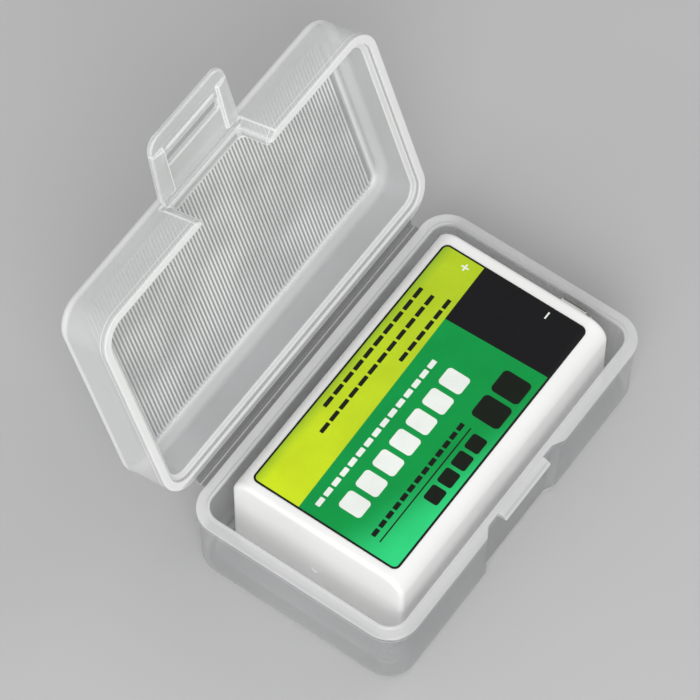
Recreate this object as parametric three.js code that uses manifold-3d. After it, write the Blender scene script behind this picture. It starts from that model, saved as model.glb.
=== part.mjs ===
// Clear moulded case for one flat rectangular nine volt battery, with its battery inside.
// Millimetres, +Z up, +X towards the battery's terminals, +Y towards the lid's hinge.
// The origin is the middle of the tray's flat underside.
import * as THREE from 'three';
import { mergeVertices } from 'three/addons/utils/BufferGeometryUtils.js';
import Module from 'manifold-3d';

// Battery shell
const batteryLength = 46.3;
const batteryWidth = 26.5;
const batteryThickness = 17.5;
const batteryEdgeRadius = 3.0;
const batteryWall = 0.8;
const batteryEndFillet = 0.7;
const gateRadius = 0.6;
const gateDepth = 0.15;
const gateShiftY = 0.2;
const gateShiftZ = -1.6;

// Battery's terminal end
const capThickness = 1.2;
const capSink = 0.3;
const capClearance = 0.15;
const boardThickness = 0.8;
const terminalSpacing = 12.7;
const terminalProud = 2.25;
const studRadius = 2.85;
const studWaistRadius = 2.45;
const terminalFlangeHeight = 0.4;
const studFlangeRadius = 3.6;
const socketRadius = 4.1;
const socketWall = 0.45;
const socketLipRadius = 3.1;
const socketSlits = 6;
const socketSlitWidth = 0.7;
const rivetShankRadius = 0.9;
const rivetHoleClearance = 0.2;
const rivetHeadRadius = 1.8;
const rivetHeadHeight = 0.4;

// Cells inside the battery, sized by the room left for them
const cellCount = 7;
const cellSideGap = 0.45;
const cellFaceGap = 0.25;
const cellHeadroom = 1.25;
const cellCornerRadius = 3.0;
const cellEdge = 0.4;
const linkThickness = 0.15;
const linkWidth = 9.0;
const linkHeight = 7.0;
const linkCornerRadius = 1.0;
const padThickness = 0.4;
const padClearance = 0.2;
const leadThickness = 0.2;
const leadWidth = 3.0;
const leadInset = 0.1;
const leadPassage = 4.4;

// Printed label wrapped over the battery's top
const labelLowMargin = 1.7;
const labelHighMargin = 2.4;
const labelThickness = 0.12;
const labelLift = 0.03;
const labelCornerRadius = 1.2;

// Room left round the battery in the shut case
const lowEndGap = 3.455;
const highEndGap = 1.395;
const frontGap = 1.33;
const backGap = 2.17;
const roofGap = 1.35;

// Tray
const trayWall = 1.8;
const trayFloor = 0.86;
const trayHeight = 12.9;
const caseCornerRadius = 4.3;
const trayOuterDraft = 0.34;
const trayInnerDraft = 0.3;
const trayEdgeFillet = 1.07;
const trayCavityFillet = 0.9;
const lipProud = 0.25;
const lipHeight = 1.0;
const lipFade = 0.25;
const beadWidth = 0.3;
const beadHeight = 0.34;
const caseLength = lowEndGap + batteryLength + terminalProud + highEndGap + 2 * trayWall;
const caseWidth = frontGap + batteryWidth + backGap + 2 * trayWall;
const halfLength = caseLength / 2;
const halfWidth = caseWidth / 2;

// Living hinge between tray and lid
const seam = 0.3;
const leafWidth = 0.83;
const leafThickness = 0.5;
const hingeEndInset = 4.75;
const filmRadius = 0.13;
const filmDepth = 0.2;
const filmClearance = 0.2;
const hingeLength = caseLength - 2 * hingeEndInset;
const hingeY = halfWidth + leafWidth;
const hingeZ = trayHeight + seam / 2;

// Lid, high enough to shut over the battery
const lidDraft = 0.26;
const lidEdgeFillet = 0.93;
const lidWall = 2.0;
const lidRabbetDepth = 0.8;
const lidBeadClearance = 0.25;
const lidInnerDraft = 0.65;
const lidCavityFillet = 0.6;
const lidPanel = 1.25;
const lidOpenDegrees = 108.09;
const lidMouth = seam / 2;
const lidSkirt = trayWall - beadWidth - lidBeadClearance;

// Ribs across the inside of the lid's panel
const ribHeight = 0.25;
const ribWidth = 0.5;
const ribPitch = 0.74;
const ribEdgeMargin = 1.0;
const lidHeight = trayFloor + batteryThickness + roofGap + ribHeight + lidPanel - hingeZ;

// Catch on the tray's front
const catchLength = 10.0;
const catchHeight = 0.95;
const catchReach = 1.3;
const catchSlope = 0.35;
const catchEdge = 0.25;

// Latch, long enough for its slot to pass over the catch
const latchHingeDrop = 2.26;
const latchFilmInset = 0.55;
const latchFilmRadius = 0.13;
const latchFilmClearance = 0.3;
const latchReliefHeight = 0.8;
const latchRootWidth = 16.3;
const latchTaper = 1.0;
const latchThickness = 0.75;
const latchInnerOffset = 0.2;
const latchCornerRadius = 2.5;
const latchCrestWidth = 0.6;
const latchFlangeRise = 0.4;
const latchFlangeStart = 0.8;
const latchTipBand = 4.4;
const latchTipLand = 2.3;
const slotTopClearance = 1.05;
const slotLowClearance = 0.2;
const slotEndClearance = 0.2;
const channelSideGap = 0.4;
const latchLeanDegrees = 7;
const latchHingeHeight = lidHeight - latchHingeDrop;
const latchHingeV = leafWidth + caseWidth;
const catchTopReach = latchHingeHeight + hingeZ - trayHeight;
const slotStart = catchTopReach - slotTopClearance;
const slotEnd = catchTopReach + catchHeight + slotLowClearance;
const latchLength = slotEnd + latchTipBand;
const latchFlangeEnd = latchLength - latchTipLand;
const latchTipWidth = latchRootWidth - latchTaper;
const latchFilmLength = latchRootWidth - 2 * latchFilmInset;
const latchChannelWidth = catchLength + 2 * (slotEndClearance + channelSideGap);

// Recess in the tray's front and notch in the lid's front, both cleared for the latch
const recessSideGap = 0.55;
const recessFacetRun = 1.5;
const recessDepth = 0.95;
const recessDraft = 0.45;
const notchSideGap = 0.25;
const notchFacetRun = 1.4;
const notchDepth = 0.9;
const notchDrop = 0.3;
const recessMouthWidth = latchRootWidth + 2 * recessSideGap;
const recessFloorWidth = recessMouthWidth - 2 * recessFacetRun;
const notchMouthWidth = latchRootWidth + 2 * notchSideGap;
const notchFloorWidth = notchMouthWidth - 2 * notchFacetRun;
const notchHeight = latchHingeHeight - notchDrop;

// Shared working values
const overrun = 1.0;
const cornerSteps = 6;
const filletSteps = 4;
const roundSteps = 32;
const filmSteps = 8;
const degree = Math.PI / 180;

const wasm = await Module();
wasm.setup();

// Solids and geometry

function toSolid(geometry) {
  const bare = geometry.clone();
  bare.deleteAttribute('normal');
  bare.deleteAttribute('uv');
  const merged = mergeVertices(bare);
  const vertProperties = new Float32Array(merged.attributes.position.array);
  const triVerts = new Uint32Array(merged.index.array);
  return new wasm.Manifold(new wasm.Mesh({ numProp: 3, vertProperties, triVerts }));
}

function toGeometry(manifold) {
  const mesh = manifold.getMesh();
  const geometry = new THREE.BufferGeometry();
  geometry.setAttribute('position', new THREE.BufferAttribute(new Float32Array(mesh.vertProperties), 3));
  geometry.setIndex(new THREE.BufferAttribute(new Uint32Array(mesh.triVerts), 1));
  geometry.computeVertexNormals();
  return geometry;
}

function addAll(first, others) {
  return others.reduce((whole, other) => whole.add(toSolid(other)), toSolid(first));
}

function cutAll(whole, cutters) {
  return cutters.reduce((rest, cutter) => rest.subtract(toSolid(cutter)), whole);
}

// A closed skin through rings of equal point counts, capped flat at both ends.
// The first ring's points run anticlockwise when seen from the last ring.
function loft(rings) {
  const count = rings[0].length;
  const positions = rings.flat(2);
  const middles = [rings[0], rings[rings.length - 1]].map(middleOf);
  positions.push(...middles[0], ...middles[1]);
  const firstMiddle = rings.length * count;
  const index = [];
  for (let ring = 0; ring + 1 < rings.length; ring += 1) {
    for (let point = 0; point < count; point += 1) {
      const next = (point + 1) % count;
      const low = ring * count;
      const high = low + count;
      index.push(low + point, low + next, high + next);
      index.push(low + point, high + next, high + point);
    }
  }
  const top = (rings.length - 1) * count;
  for (let point = 0; point < count; point += 1) {
    const next = (point + 1) % count;
    index.push(firstMiddle, next, point);
    index.push(firstMiddle + 1, top + point, top + next);
  }
  const geometry = new THREE.BufferGeometry();
  geometry.setAttribute('position', new THREE.Float32BufferAttribute(positions, 3));
  geometry.setIndex(index);
  return geometry;
}

function middleOf(ring) {
  const sum = ring.reduce((total, point) => total.map((value, axis) => value + point[axis]), [0, 0, 0]);
  return sum.map((value) => value / ring.length);
}

function roundedRing(halfX, halfY, radius, height, midX = 0, midY = 0) {
  const ring = [];
  const corners = [[1, 1], [-1, 1], [-1, -1], [1, -1]];
  corners.forEach(([signX, signY], quarter) => {
    for (let step = 0; step <= cornerSteps; step += 1) {
      const angle = (quarter + step / cornerSteps) * 90 * degree;
      const x = midX + signX * (halfX - radius) + radius * Math.cos(angle);
      const y = midY + signY * (halfY - radius) + radius * Math.sin(angle);
      ring.push([x, y, height]);
    }
  });
  return ring;
}

// A rounded block whose outline steps in by the inset given with each height.
function insetLoft(halfX, halfY, radius, profile, midX = 0, midY = 0) {
  const rings = profile.map(([height, inset]) => {
    const corner = radius - inset;
    return roundedRing(halfX - inset, halfY - inset, corner, height, midX, midY);
  });
  return loft(rings);
}

// Heights and insets round an edge, from the end face out to the full outline.
function filletProfile(radius) {
  const profile = [];
  for (let step = 0; step < filletSteps; step += 1) {
    const angle = (step / filletSteps) * 90 * degree;
    profile.push([radius * (1 - Math.cos(angle)), radius * (1 - Math.sin(angle))]);
  }
  return profile;
}

function shapeFrom(points) {
  return new THREE.Shape(points.map(([a, b]) => new THREE.Vector2(a, b)));
}

function extrude(points, depth) {
  return new THREE.ExtrudeGeometry(shapeFrom(points), { depth, bevelEnabled: false, curveSegments: cornerSteps });
}

// Turns an outline in Y and Z, drawn in the first two axes, so that its depth runs along X.
function alongX(geometry, startX) {
  const turn = new THREE.Matrix4().makeBasis(
    new THREE.Vector3(0, 1, 0),
    new THREE.Vector3(0, 0, 1),
    new THREE.Vector3(1, 0, 0),
  );
  return geometry.applyMatrix4(turn).translate(startX, 0, 0);
}

// Turns an outline in X and Z, drawn in the first two axes, so that its depth runs towards the front.
function towardsFront(geometry, startY) {
  const turn = new THREE.Matrix4().makeBasis(
    new THREE.Vector3(1, 0, 0),
    new THREE.Vector3(0, 0, 1),
    new THREE.Vector3(0, -1, 0),
  );
  return geometry.applyMatrix4(turn).translate(0, startY, 0);
}

function upright(points, low, high) {
  return extrude(points, high - low).translate(0, 0, low);
}

function rectangle(lowA, highA, lowB, highB) {
  return [[lowA, lowB], [highA, lowB], [highA, highB], [lowA, highB]];
}

function mirrored(points) {
  const others = points.map(([x, y]) => [-x, y]).reverse();
  return [...points, ...others];
}

function roundBar(radius, low, high, midY, midZ) {
  const bar = new THREE.CylinderGeometry(radius, radius, high - low, roundSteps);
  bar.rotateZ(-90 * degree);
  return bar.translate((low + high) / 2, midY, midZ);
}

function node(name, geometry, material) {
  const mesh = new THREE.Mesh(geometry, material);
  mesh.name = name;
  return mesh;
}

function finish(color, roughness, metalness, opacity = 1) {
  const transparent = opacity < 1;
  return new THREE.MeshStandardMaterial({ color, roughness, metalness, opacity, transparent });
}

const frosted = () => finish(0xdfe2e4, 0.42, 0, 0.5);
const whiteShell = () => finish(0xf4f4f1, 0.35, 0);
const darkBoard = () => finish(0x1c1a18, 0.6, 0);
const plated = () => finish(0xc9c7c0, 0.28, 1);
const steelCan = () => finish(0xb4b6b8, 0.35, 1);
const nickel = () => finish(0xcac6bb, 0.32, 1);
const fibre = () => finish(0xd9cfae, 0.8, 0);
const printed = () => finish(0x2fae57, 0.3, 0);

// Tray

function trayOuterProfile() {
  const drafted = (height) => lipProud + trayOuterDraft * (1 - height / trayHeight);
  const lipLow = trayHeight - lipHeight;
  const edge = filletProfile(trayEdgeFillet).map(([height, inset]) => [height, inset + drafted(height)]);
  return [
    ...edge,
    [trayEdgeFillet, drafted(trayEdgeFillet)],
    [lipLow - lipFade, drafted(lipLow - lipFade)],
    [lipLow, 0],
    [trayHeight, 0],
    [trayHeight, trayWall - beadWidth],
    [trayHeight + beadHeight, trayWall - beadWidth / 2],
  ];
}

function trayCavityProfile() {
  const depth = trayHeight - trayFloor;
  const drafted = (height) => trayWall + trayInnerDraft * (1 - height / depth);
  const edge = filletProfile(trayCavityFillet).map(([height, inset]) => [
    trayFloor + height,
    inset + drafted(height),
  ]);
  const top = trayHeight + beadHeight + overrun;
  return [...edge, [trayFloor + trayCavityFillet, drafted(trayCavityFillet)], [trayHeight, trayWall], [top, trayWall]];
}

function recessOutline(height) {
  const floorDepth = recessDepth + recessDraft * (1 - height / trayHeight);
  const flare = (recessMouthWidth - recessFloorWidth) / 2 / recessDepth;
  const mouthHalf = recessMouthWidth / 2 + flare * overrun;
  const floorHalf = recessMouthWidth / 2 - flare * floorDepth;
  return [
    [-mouthHalf, -halfWidth - overrun, height],
    [mouthHalf, -halfWidth - overrun, height],
    [floorHalf, -halfWidth + floorDepth, height],
    [-floorHalf, -halfWidth + floorDepth, height],
  ];
}

function trayCatch() {
  const root = -halfWidth + recessDepth + beadWidth;
  const face = -halfWidth + recessDepth;
  const tip = face - catchReach;
  const low = trayHeight - catchHeight;
  const section = [
    [root, low],
    [root, trayHeight],
    [face - catchEdge, trayHeight],
    [tip + catchEdge, trayHeight - catchSlope],
    [tip, trayHeight - catchSlope - catchEdge],
    [tip, low + catchEdge / 2],
    [tip + catchEdge / 2, low],
  ];
  return alongX(extrude(section, catchLength), -catchLength / 2);
}

function trayLeaf() {
  const section = rectangle(halfWidth - trayWall / 2, hingeY - filmRadius, trayHeight - leafThickness, trayHeight);
  return alongX(extrude(section, hingeLength), -hingeLength / 2);
}

function buildTray() {
  const shell = insetLoft(halfLength, halfWidth, caseCornerRadius, trayOuterProfile());
  const cavity = insetLoft(halfLength, halfWidth, caseCornerRadius, trayCavityProfile());
  const recess = loft([recessOutline(-overrun), recessOutline(trayHeight + overrun)]);
  const hollow = cutAll(toSolid(shell), [cavity, recess]);
  return toGeometry(hollow.add(toSolid(trayCatch())).add(toSolid(trayLeaf())));
}

// The crease that bends between the two leaves, as a bar with a rounded crown.
function buildHingeFilm() {
  const section = [[-filmRadius, -seam / 2 - filmDepth], [filmRadius, -seam / 2 - filmDepth]];
  for (let step = 0; step <= filmSteps; step += 1) {
    const angle = (step / filmSteps) * 180 * degree;
    section.push([filmRadius * Math.cos(angle), filmRadius * Math.sin(angle)]);
  }
  return alongX(extrude(section, hingeLength), -hingeLength / 2).translate(0, hingeY, hingeZ);
}

// Lid, drawn shut about its hinge line, with its front towards the tray's front

function lidOuterProfile() {
  const drafted = (height) => (lidDraft * (height - lidMouth)) / (lidHeight - lidMouth);
  const edge = filletProfile(lidEdgeFillet)
    .map(([height, inset]) => [lidHeight - height, inset + drafted(lidHeight - height)])
    .reverse();
  const shoulder = lidHeight - lidEdgeFillet;
  return [[lidMouth, 0], [shoulder, drafted(shoulder)], ...edge];
}

function lidCavityProfile() {
  const ledge = lidMouth + lidRabbetDepth;
  const roof = lidHeight - lidPanel;
  const drafted = (height) => lidWall + (lidInnerDraft * (height - ledge)) / (roof - ledge);
  const edge = filletProfile(lidCavityFillet)
    .map(([height, inset]) => [roof - height, inset + drafted(roof - height)])
    .reverse();
  const shoulder = roof - lidCavityFillet;
  return [
    [lidMouth - overrun, lidSkirt],
    [ledge, lidSkirt],
    [ledge, lidWall],
    [shoulder, drafted(shoulder)],
    ...edge,
  ];
}

function lidLeaf() {
  const edge = -(filmRadius + filmClearance);
  const section = rectangle(-leafWidth - lidSkirt / 2, edge, lidMouth, lidMouth + leafThickness);
  return alongX(extrude(section, hingeLength), -hingeLength / 2);
}

function notchCutter() {
  const front = -latchHingeV;
  const half = [
    [notchMouthWidth / 2, front - overrun],
    [notchMouthWidth / 2, front],
    [notchFloorWidth / 2, front + notchDepth],
    [notchFloorWidth / 2, front + lidWall + overrun],
  ];
  return upright(mirrored(half), lidMouth - overrun, notchHeight);
}

function latchReliefCutter() {
  const half = notchMouthWidth / 2;
  const back = -latchHingeV + latchFilmRadius + latchFilmClearance;
  const low = latchHingeHeight - latchReliefHeight / 2;
  return upright(rectangle(-half, half, -latchHingeV - overrun, back), low, low + latchReliefHeight);
}

function ribPanel() {
  const roof = lidHeight - lidPanel;
  const inset = lidWall + lidInnerDraft;
  const halfSpan = halfLength - inset - ribEdgeMargin;
  const count = Math.floor((2 * halfSpan) / ribPitch);
  const section = [];
  for (let rib = 0; rib < count; rib += 1) {
    const x = (rib - (count - 1) / 2) * ribPitch;
    section.push([x - ribWidth / 2, roof], [x, roof - ribHeight], [x + ribWidth / 2, roof]);
  }
  const edge = (count * ribPitch) / 2;
  section.unshift([-edge, roof]);
  section.push([edge, roof], [edge, roof + lidPanel / 2], [-edge, roof + lidPanel / 2]);
  const length = caseWidth - 2 * inset;
  return towardsFront(extrude(section, length), -leafWidth - inset);
}

function buildLid() {
  const middle = -leafWidth - halfWidth;
  const shell = insetLoft(halfLength, halfWidth, caseCornerRadius, lidOuterProfile(), 0, middle);
  const cavity = insetLoft(halfLength, halfWidth, caseCornerRadius, lidCavityProfile(), 0, middle);
  const hollow = cutAll(toSolid(shell), [cavity, notchCutter(), latchReliefCutter()]);
  return toGeometry(hollow.add(toSolid(lidLeaf())).add(toSolid(ribPanel())));
}

function buildLatchFilm() {
  return roundBar(latchFilmRadius, -latchFilmLength / 2, latchFilmLength / 2, -latchHingeV, latchHingeHeight);
}

// Latch, drawn level with the lid's top, running forward from its own hinge line

function latchOutline() {
  const shape = new THREE.Shape();
  const root = latchFilmRadius + latchFilmClearance;
  const rootHalf = latchRootWidth / 2;
  const tipHalf = latchTipWidth / 2;
  shape.moveTo(-rootHalf, -root);
  shape.lineTo(-tipHalf, -latchLength + latchCornerRadius);
  shape.quadraticCurveTo(-tipHalf, -latchLength, -tipHalf + latchCornerRadius, -latchLength);
  shape.lineTo(tipHalf - latchCornerRadius, -latchLength);
  shape.quadraticCurveTo(tipHalf, -latchLength, tipHalf, -latchLength + latchCornerRadius);
  shape.lineTo(rootHalf, -root);
  return shape;
}

function latchBlank(low, high) {
  const options = { depth: high - low, bevelEnabled: false, curveSegments: cornerSteps };
  return new THREE.ExtrudeGeometry(latchOutline(), options).translate(0, 0, low);
}

function latchFlange(side) {
  const crest = -latchInnerOffset - latchFlangeRise;
  const inner = latchChannelWidth / 2;
  const outer = latchRootWidth / 2;
  const section = [
    [inner, crest],
    [inner + latchCrestWidth, crest],
    [outer, -latchInnerOffset],
    [outer, 0],
    [inner, 0],
  ].map(([x, z]) => [side * x, z]);
  const ordered = side > 0 ? section : section.reverse();
  return towardsFront(extrude(ordered, latchFlangeEnd - latchFlangeStart), -latchFlangeStart);
}

function slotCutter() {
  const half = catchLength / 2 + slotEndClearance;
  return upright(rectangle(-half, half, -slotEnd, -slotStart), -overrun, latchThickness + overrun);
}

function buildLatch() {
  const plate = latchBlank(-latchInnerOffset, latchThickness - latchInnerOffset);
  const full = latchBlank(-latchInnerOffset - latchFlangeRise, latchThickness - latchInnerOffset);
  const flanged = addAll(plate, [latchFlange(1), latchFlange(-1)]).intersect(toSolid(full));
  return toGeometry(cutAll(flanged, [slotCutter()]));
}

// Battery, lying on its wide side on the tray's floor

const batteryLow = -halfLength + trayWall + lowEndGap;
const batteryHigh = batteryLow + batteryLength;
const batteryShiftY = -halfWidth + trayWall + frontGap + batteryWidth / 2;
const batteryMidZ = trayFloor + batteryThickness / 2;
const capFace = batteryHigh - capSink;
const boardHigh = capFace - capThickness;
const boardLow = boardHigh - boardThickness;
const holeRadius = rivetShankRadius + rivetHoleClearance;
const bodyHalfY = batteryWidth / 2;
const bodyHalfZ = batteryThickness / 2;
const innerHalfY = bodyHalfY - batteryWall;
const innerHalfZ = bodyHalfZ - batteryWall;
const innerRadius = batteryEdgeRadius - batteryWall;

function crossBlock(halfY, halfZ, radius, low, high) {
  const rings = [low, high].map((x) => roundedRing(halfY, halfZ, radius, x, batteryShiftY, batteryMidZ));
  return alongX(loft(rings), 0);
}

function crossHole(y, radius, low, high) {
  return roundBar(radius, low, high, batteryShiftY + y, batteryMidZ);
}

function buildJacket() {
  const edge = filletProfile(batteryEndFillet);
  const far = edge.map(([height, inset]) => [batteryHigh - height, inset]).reverse();
  const profile = [
    ...edge.map(([height, inset]) => [batteryLow + height, inset]),
    [batteryLow + batteryEndFillet, 0],
    [batteryHigh - batteryEndFillet, 0],
    ...far,
  ];
  const body = alongX(insetLoft(bodyHalfY, bodyHalfZ, batteryEdgeRadius, profile, batteryShiftY, batteryMidZ), 0);
  const room = crossBlock(innerHalfY, innerHalfZ, innerRadius, batteryLow + batteryWall, batteryHigh + overrun);
  const gate = crossHole(gateShiftY, gateRadius, batteryLow - overrun, batteryLow + gateDepth);
  gate.translate(0, 0, gateShiftZ);
  return toGeometry(cutAll(toSolid(body), [room, gate]));
}

function platePiece(low, high) {
  const halfY = innerHalfY - capClearance;
  const halfZ = innerHalfZ - capClearance;
  const blank = crossBlock(halfY, halfZ, innerRadius, low, high);
  const holes = [1, -1].map((side) => {
    return crossHole((side * terminalSpacing) / 2, holeRadius, low - overrun, high + overrun);
  });
  return toGeometry(cutAll(toSolid(blank), holes));
}

// A turned piece on a terminal's centre line, from points of radius and distance past the cap's face.
function turned(points, side) {
  const outline = points.map(([radius, height]) => new THREE.Vector2(radius, height));
  const round = new THREE.LatheGeometry(outline, roundSteps);
  round.rotateZ(-90 * degree);
  return round.translate(capFace, batteryShiftY + (side * terminalSpacing) / 2, batteryMidZ);
}

function buildStud() {
  const top = capSink + terminalProud;
  const neck = terminalFlangeHeight;
  const shoulder = top - (studRadius - studWaistRadius);
  return turned([
    [0, rivetHeadHeight],
    [holeRadius, rivetHeadHeight],
    [holeRadius, 0],
    [studFlangeRadius, 0],
    [studFlangeRadius, neck],
    [studWaistRadius, neck],
    [studWaistRadius, (neck + top) / 2],
    [studRadius, shoulder],
    [studWaistRadius, top],
    [0, top],
  ], 1);
}

function buildSocket() {
  const top = capSink + terminalProud;
  const floor = terminalFlangeHeight;
  const inner = socketRadius - socketWall;
  const cup = turned([
    [holeRadius, 0],
    [socketRadius, 0],
    [socketRadius, top],
    [socketLipRadius, top],
    [socketLipRadius, top - socketWall],
    [inner, top - 2 * socketWall],
    [inner, floor],
    [holeRadius, floor],
    [holeRadius, 0],
  ], -1);
  const slits = [];
  for (let slit = 0; slit < socketSlits / 2; slit += 1) {
    const bar = new THREE.BoxGeometry(top, socketSlitWidth, 2 * (socketRadius + overrun));
    bar.rotateX((slit / socketSlits) * 360 * degree);
    const middle = capFace + 2 * floor + top / 2;
    slits.push(bar.translate(middle, batteryShiftY - terminalSpacing / 2, batteryMidZ));
  }
  return toGeometry(cutAll(toSolid(cup), slits));
}

function rivetProfile(outerEnd, outerHead) {
  const boardBack = -(capThickness + boardThickness);
  const innerEnd = boardBack - rivetHeadHeight;
  const points = [
    [0, innerEnd],
    [rivetHeadRadius, innerEnd],
    [rivetHeadRadius, boardBack],
    [rivetShankRadius, boardBack],
  ];
  const head = outerHead
    ? [
      [rivetShankRadius, terminalFlangeHeight],
      [rivetHeadRadius, terminalFlangeHeight],
      [rivetHeadRadius, outerEnd],
    ]
    : [[rivetShankRadius, outerEnd]];
  return [...points, ...head, [0, outerEnd]];
}

const rivetInnerEnd = boardLow - rivetHeadHeight;
const stackLow = batteryLow + batteryWall + padThickness;
const stackHigh = rivetInnerEnd - cellHeadroom;
const cellStep = (stackHigh - stackLow + linkThickness) / cellCount;
const cellThickness = cellStep - linkThickness;
const cellWidth = 2 * (innerHalfY - cellSideGap);
const cellHeight = 2 * (innerHalfZ - cellFaceGap);

function buildCell(position) {
  const low = stackLow + position * cellStep;
  const profile = [
    [low, cellEdge],
    [low + cellEdge, 0],
    [low + cellThickness - cellEdge, 0],
    [low + cellThickness, cellEdge],
  ];
  return alongX(insetLoft(cellWidth / 2, cellHeight / 2, cellCornerRadius, profile, batteryShiftY, batteryMidZ), 0);
}

function buildLink(position) {
  const low = stackLow + cellThickness + position * cellStep;
  return crossBlock(linkWidth / 2, linkHeight / 2, linkCornerRadius, low, low + linkThickness);
}

function padBlank(low) {
  const halfY = innerHalfY - padClearance;
  const halfZ = innerHalfZ - padClearance;
  return toSolid(crossBlock(halfY, halfZ, innerRadius, low, low + padThickness));
}

// An upright passage through a pad or lead way, centred on the battery's height.
function passage(lowX, highX, lowY, highY) {
  const half = leadPassage / 2;
  const outline = rectangle(lowX, highX, batteryShiftY + lowY, batteryShiftY + highY);
  return upright(outline, batteryMidZ - half, batteryMidZ + half);
}

function buildLowPad() {
  const low = stackLow - padThickness;
  const way = passage(stackLow - leadThickness, stackLow + overrun, -innerHalfY - overrun, leadWidth);
  return toGeometry(cutAll(padBlank(low), [way]));
}

function buildHighPad() {
  const hole = passage(stackHigh - overrun, stackHigh + padThickness + overrun, -leadPassage / 2, leadPassage / 2);
  const side = passage(stackHigh - overrun, stackHigh + padThickness + overrun, -innerHalfY - overrun, -sideClear);
  return toGeometry(cutAll(padBlank(stackHigh), [hole, side]));
}

const sideClear = cellWidth / 2;
const leadHigh = rivetInnerEnd;
const leadLow = leadHigh - leadThickness;

function leadFrom(points) {
  const half = leadWidth / 2;
  const outline = points.map(([x, y]) => [x, batteryShiftY + y]);
  return upright(outline, batteryMidZ - half, batteryMidZ + half);
}

// From the top cell's face up to the stud's rivet.
function buildPositiveLead() {
  const far = terminalSpacing / 2 + rivetShankRadius;
  const foot = leadWidth / 2;
  return leadFrom([
    [stackHigh, -foot],
    [stackHigh + leadThickness, -foot],
    [stackHigh + leadThickness, foot - leadThickness],
    [leadLow, foot - leadThickness],
    [leadHigh, foot - leadThickness],
    [leadHigh, far],
    [leadLow, far],
    [leadLow, foot],
    [stackHigh, foot],
  ]);
}

// From under the lowest cell, along the stack's side, to the socket's rivet.
function buildNegativeLead() {
  const outer = -innerHalfY + leadInset;
  const inner = outer + leadThickness;
  const near = -terminalSpacing / 2 + rivetShankRadius;
  return leadFrom([
    [stackLow - leadThickness, outer],
    [leadHigh, outer],
    [leadHigh, near],
    [leadLow, near],
    [leadLow, inner],
    [stackLow, inner],
    [stackLow, 0],
    [stackLow - leadThickness, 0],
  ].reverse());
}

const labelLength = batteryLength - labelLowMargin - labelHighMargin;
const labelBend = 90 * degree * (1 - 1 / cornerSteps);

function labelSection() {
  const flat = bodyHalfY - batteryEdgeRadius;
  const path = (radius) => {
    const y = flat + radius * Math.cos(labelBend);
    return [y, batteryMidZ + bodyHalfZ - batteryEdgeRadius + radius * Math.sin(labelBend)];
  };
  const top = batteryMidZ + bodyHalfZ;
  const low = path(batteryEdgeRadius + labelLift);
  const high = path(batteryEdgeRadius + labelThickness);
  const half = [low, high, [flat, top + labelThickness]];
  const others = half.map(([y, z]) => [-y, z]).reverse();
  return [...half, ...others, [-flat, top], [flat, top]].map(([y, z]) => [batteryShiftY + y, z]);
}

function buildLabel() {
  const start = batteryLow + labelLowMargin;
  const band = alongX(extrude(labelSection(), labelLength), start);
  const halfX = labelLength / 2;
  const halfY = bodyHalfY - batteryEdgeRadius * (1 - Math.cos(labelBend)) + labelThickness;
  const midX = start + halfX;
  const plan = [0, batteryMidZ + batteryThickness].map((height) => {
    return roundedRing(halfX, halfY, labelCornerRadius, height, midX, batteryShiftY);
  });
  return toGeometry(toSolid(band).intersect(toSolid(loft(plan))));
}

// Assembly

const part = new THREE.Group();
part.add(node('base_tray', buildTray(), frosted()));
part.add(node('hinge_film', buildHingeFilm(), frosted()));

const lid = new THREE.Group();
lid.position.set(0, hingeY, hingeZ);
lid.rotation.x = -lidOpenDegrees * degree;
lid.add(node('lid_cover', buildLid(), frosted()));
lid.add(node('latch_film', buildLatchFilm(), frosted()));
part.add(lid);

const latch = new THREE.Group();
latch.position.set(0, -latchHingeV, latchHingeHeight);
latch.rotation.x = latchLeanDegrees * degree;
latch.add(node('latch_plate', buildLatch(), frosted()));
lid.add(latch);

const battery = new THREE.Group();
battery.add(node('battery_jacket', buildJacket(), whiteShell()));
battery.add(node('battery_end_cap', platePiece(boardHigh, capFace), whiteShell()));
battery.add(node('terminal_board', platePiece(boardLow, boardHigh), darkBoard()));
battery.add(node('terminal_stud', buildStud(), plated()));
battery.add(node('terminal_socket', buildSocket(), plated()));
battery.add(node('rivet_stud', turned(rivetProfile(rivetHeadHeight - rivetHoleClearance, false), 1), nickel()));
battery.add(node('rivet_socket', turned(rivetProfile(terminalFlangeHeight + rivetHeadHeight, true), -1), nickel()));
battery.add(node('battery_label', buildLabel(), printed()));
battery.add(node('pad_low', buildLowPad(), fibre()));
battery.add(node('pad_high', buildHighPad(), fibre()));
battery.add(node('lead_positive', buildPositiveLead(), nickel()));
battery.add(node('lead_negative', buildNegativeLead(), nickel()));
for (let position = 0; position < cellCount; position += 1) {
  battery.add(node(`cell_${position + 1}`, buildCell(position), steelCan()));
}
for (let position = 0; position + 1 < cellCount; position += 1) {
  battery.add(node(`cell_link_${position + 1}`, buildLink(position), nickel()));
}
part.add(battery);

export default part;
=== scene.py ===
# %% [markdown]
# # A clear moulded case with a flat battery in it
#
# The object is a small two part case of frosted clear plastic, moulded in one shot with its lid, a
# thin hinge that bends, and a latch on a second thin hinge. A white rectangular battery lies in the
# tray. The solids come ready made from the packed model, in metres, so this lesson only dresses
# them: every piece is built where its solid already is, and the rigid pieces then ride on the body
# that moves them.

# %% Load the packed model
import math
import bpy
import bmesh
import numpy as np
from mathutils import Matrix, Vector


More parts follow.
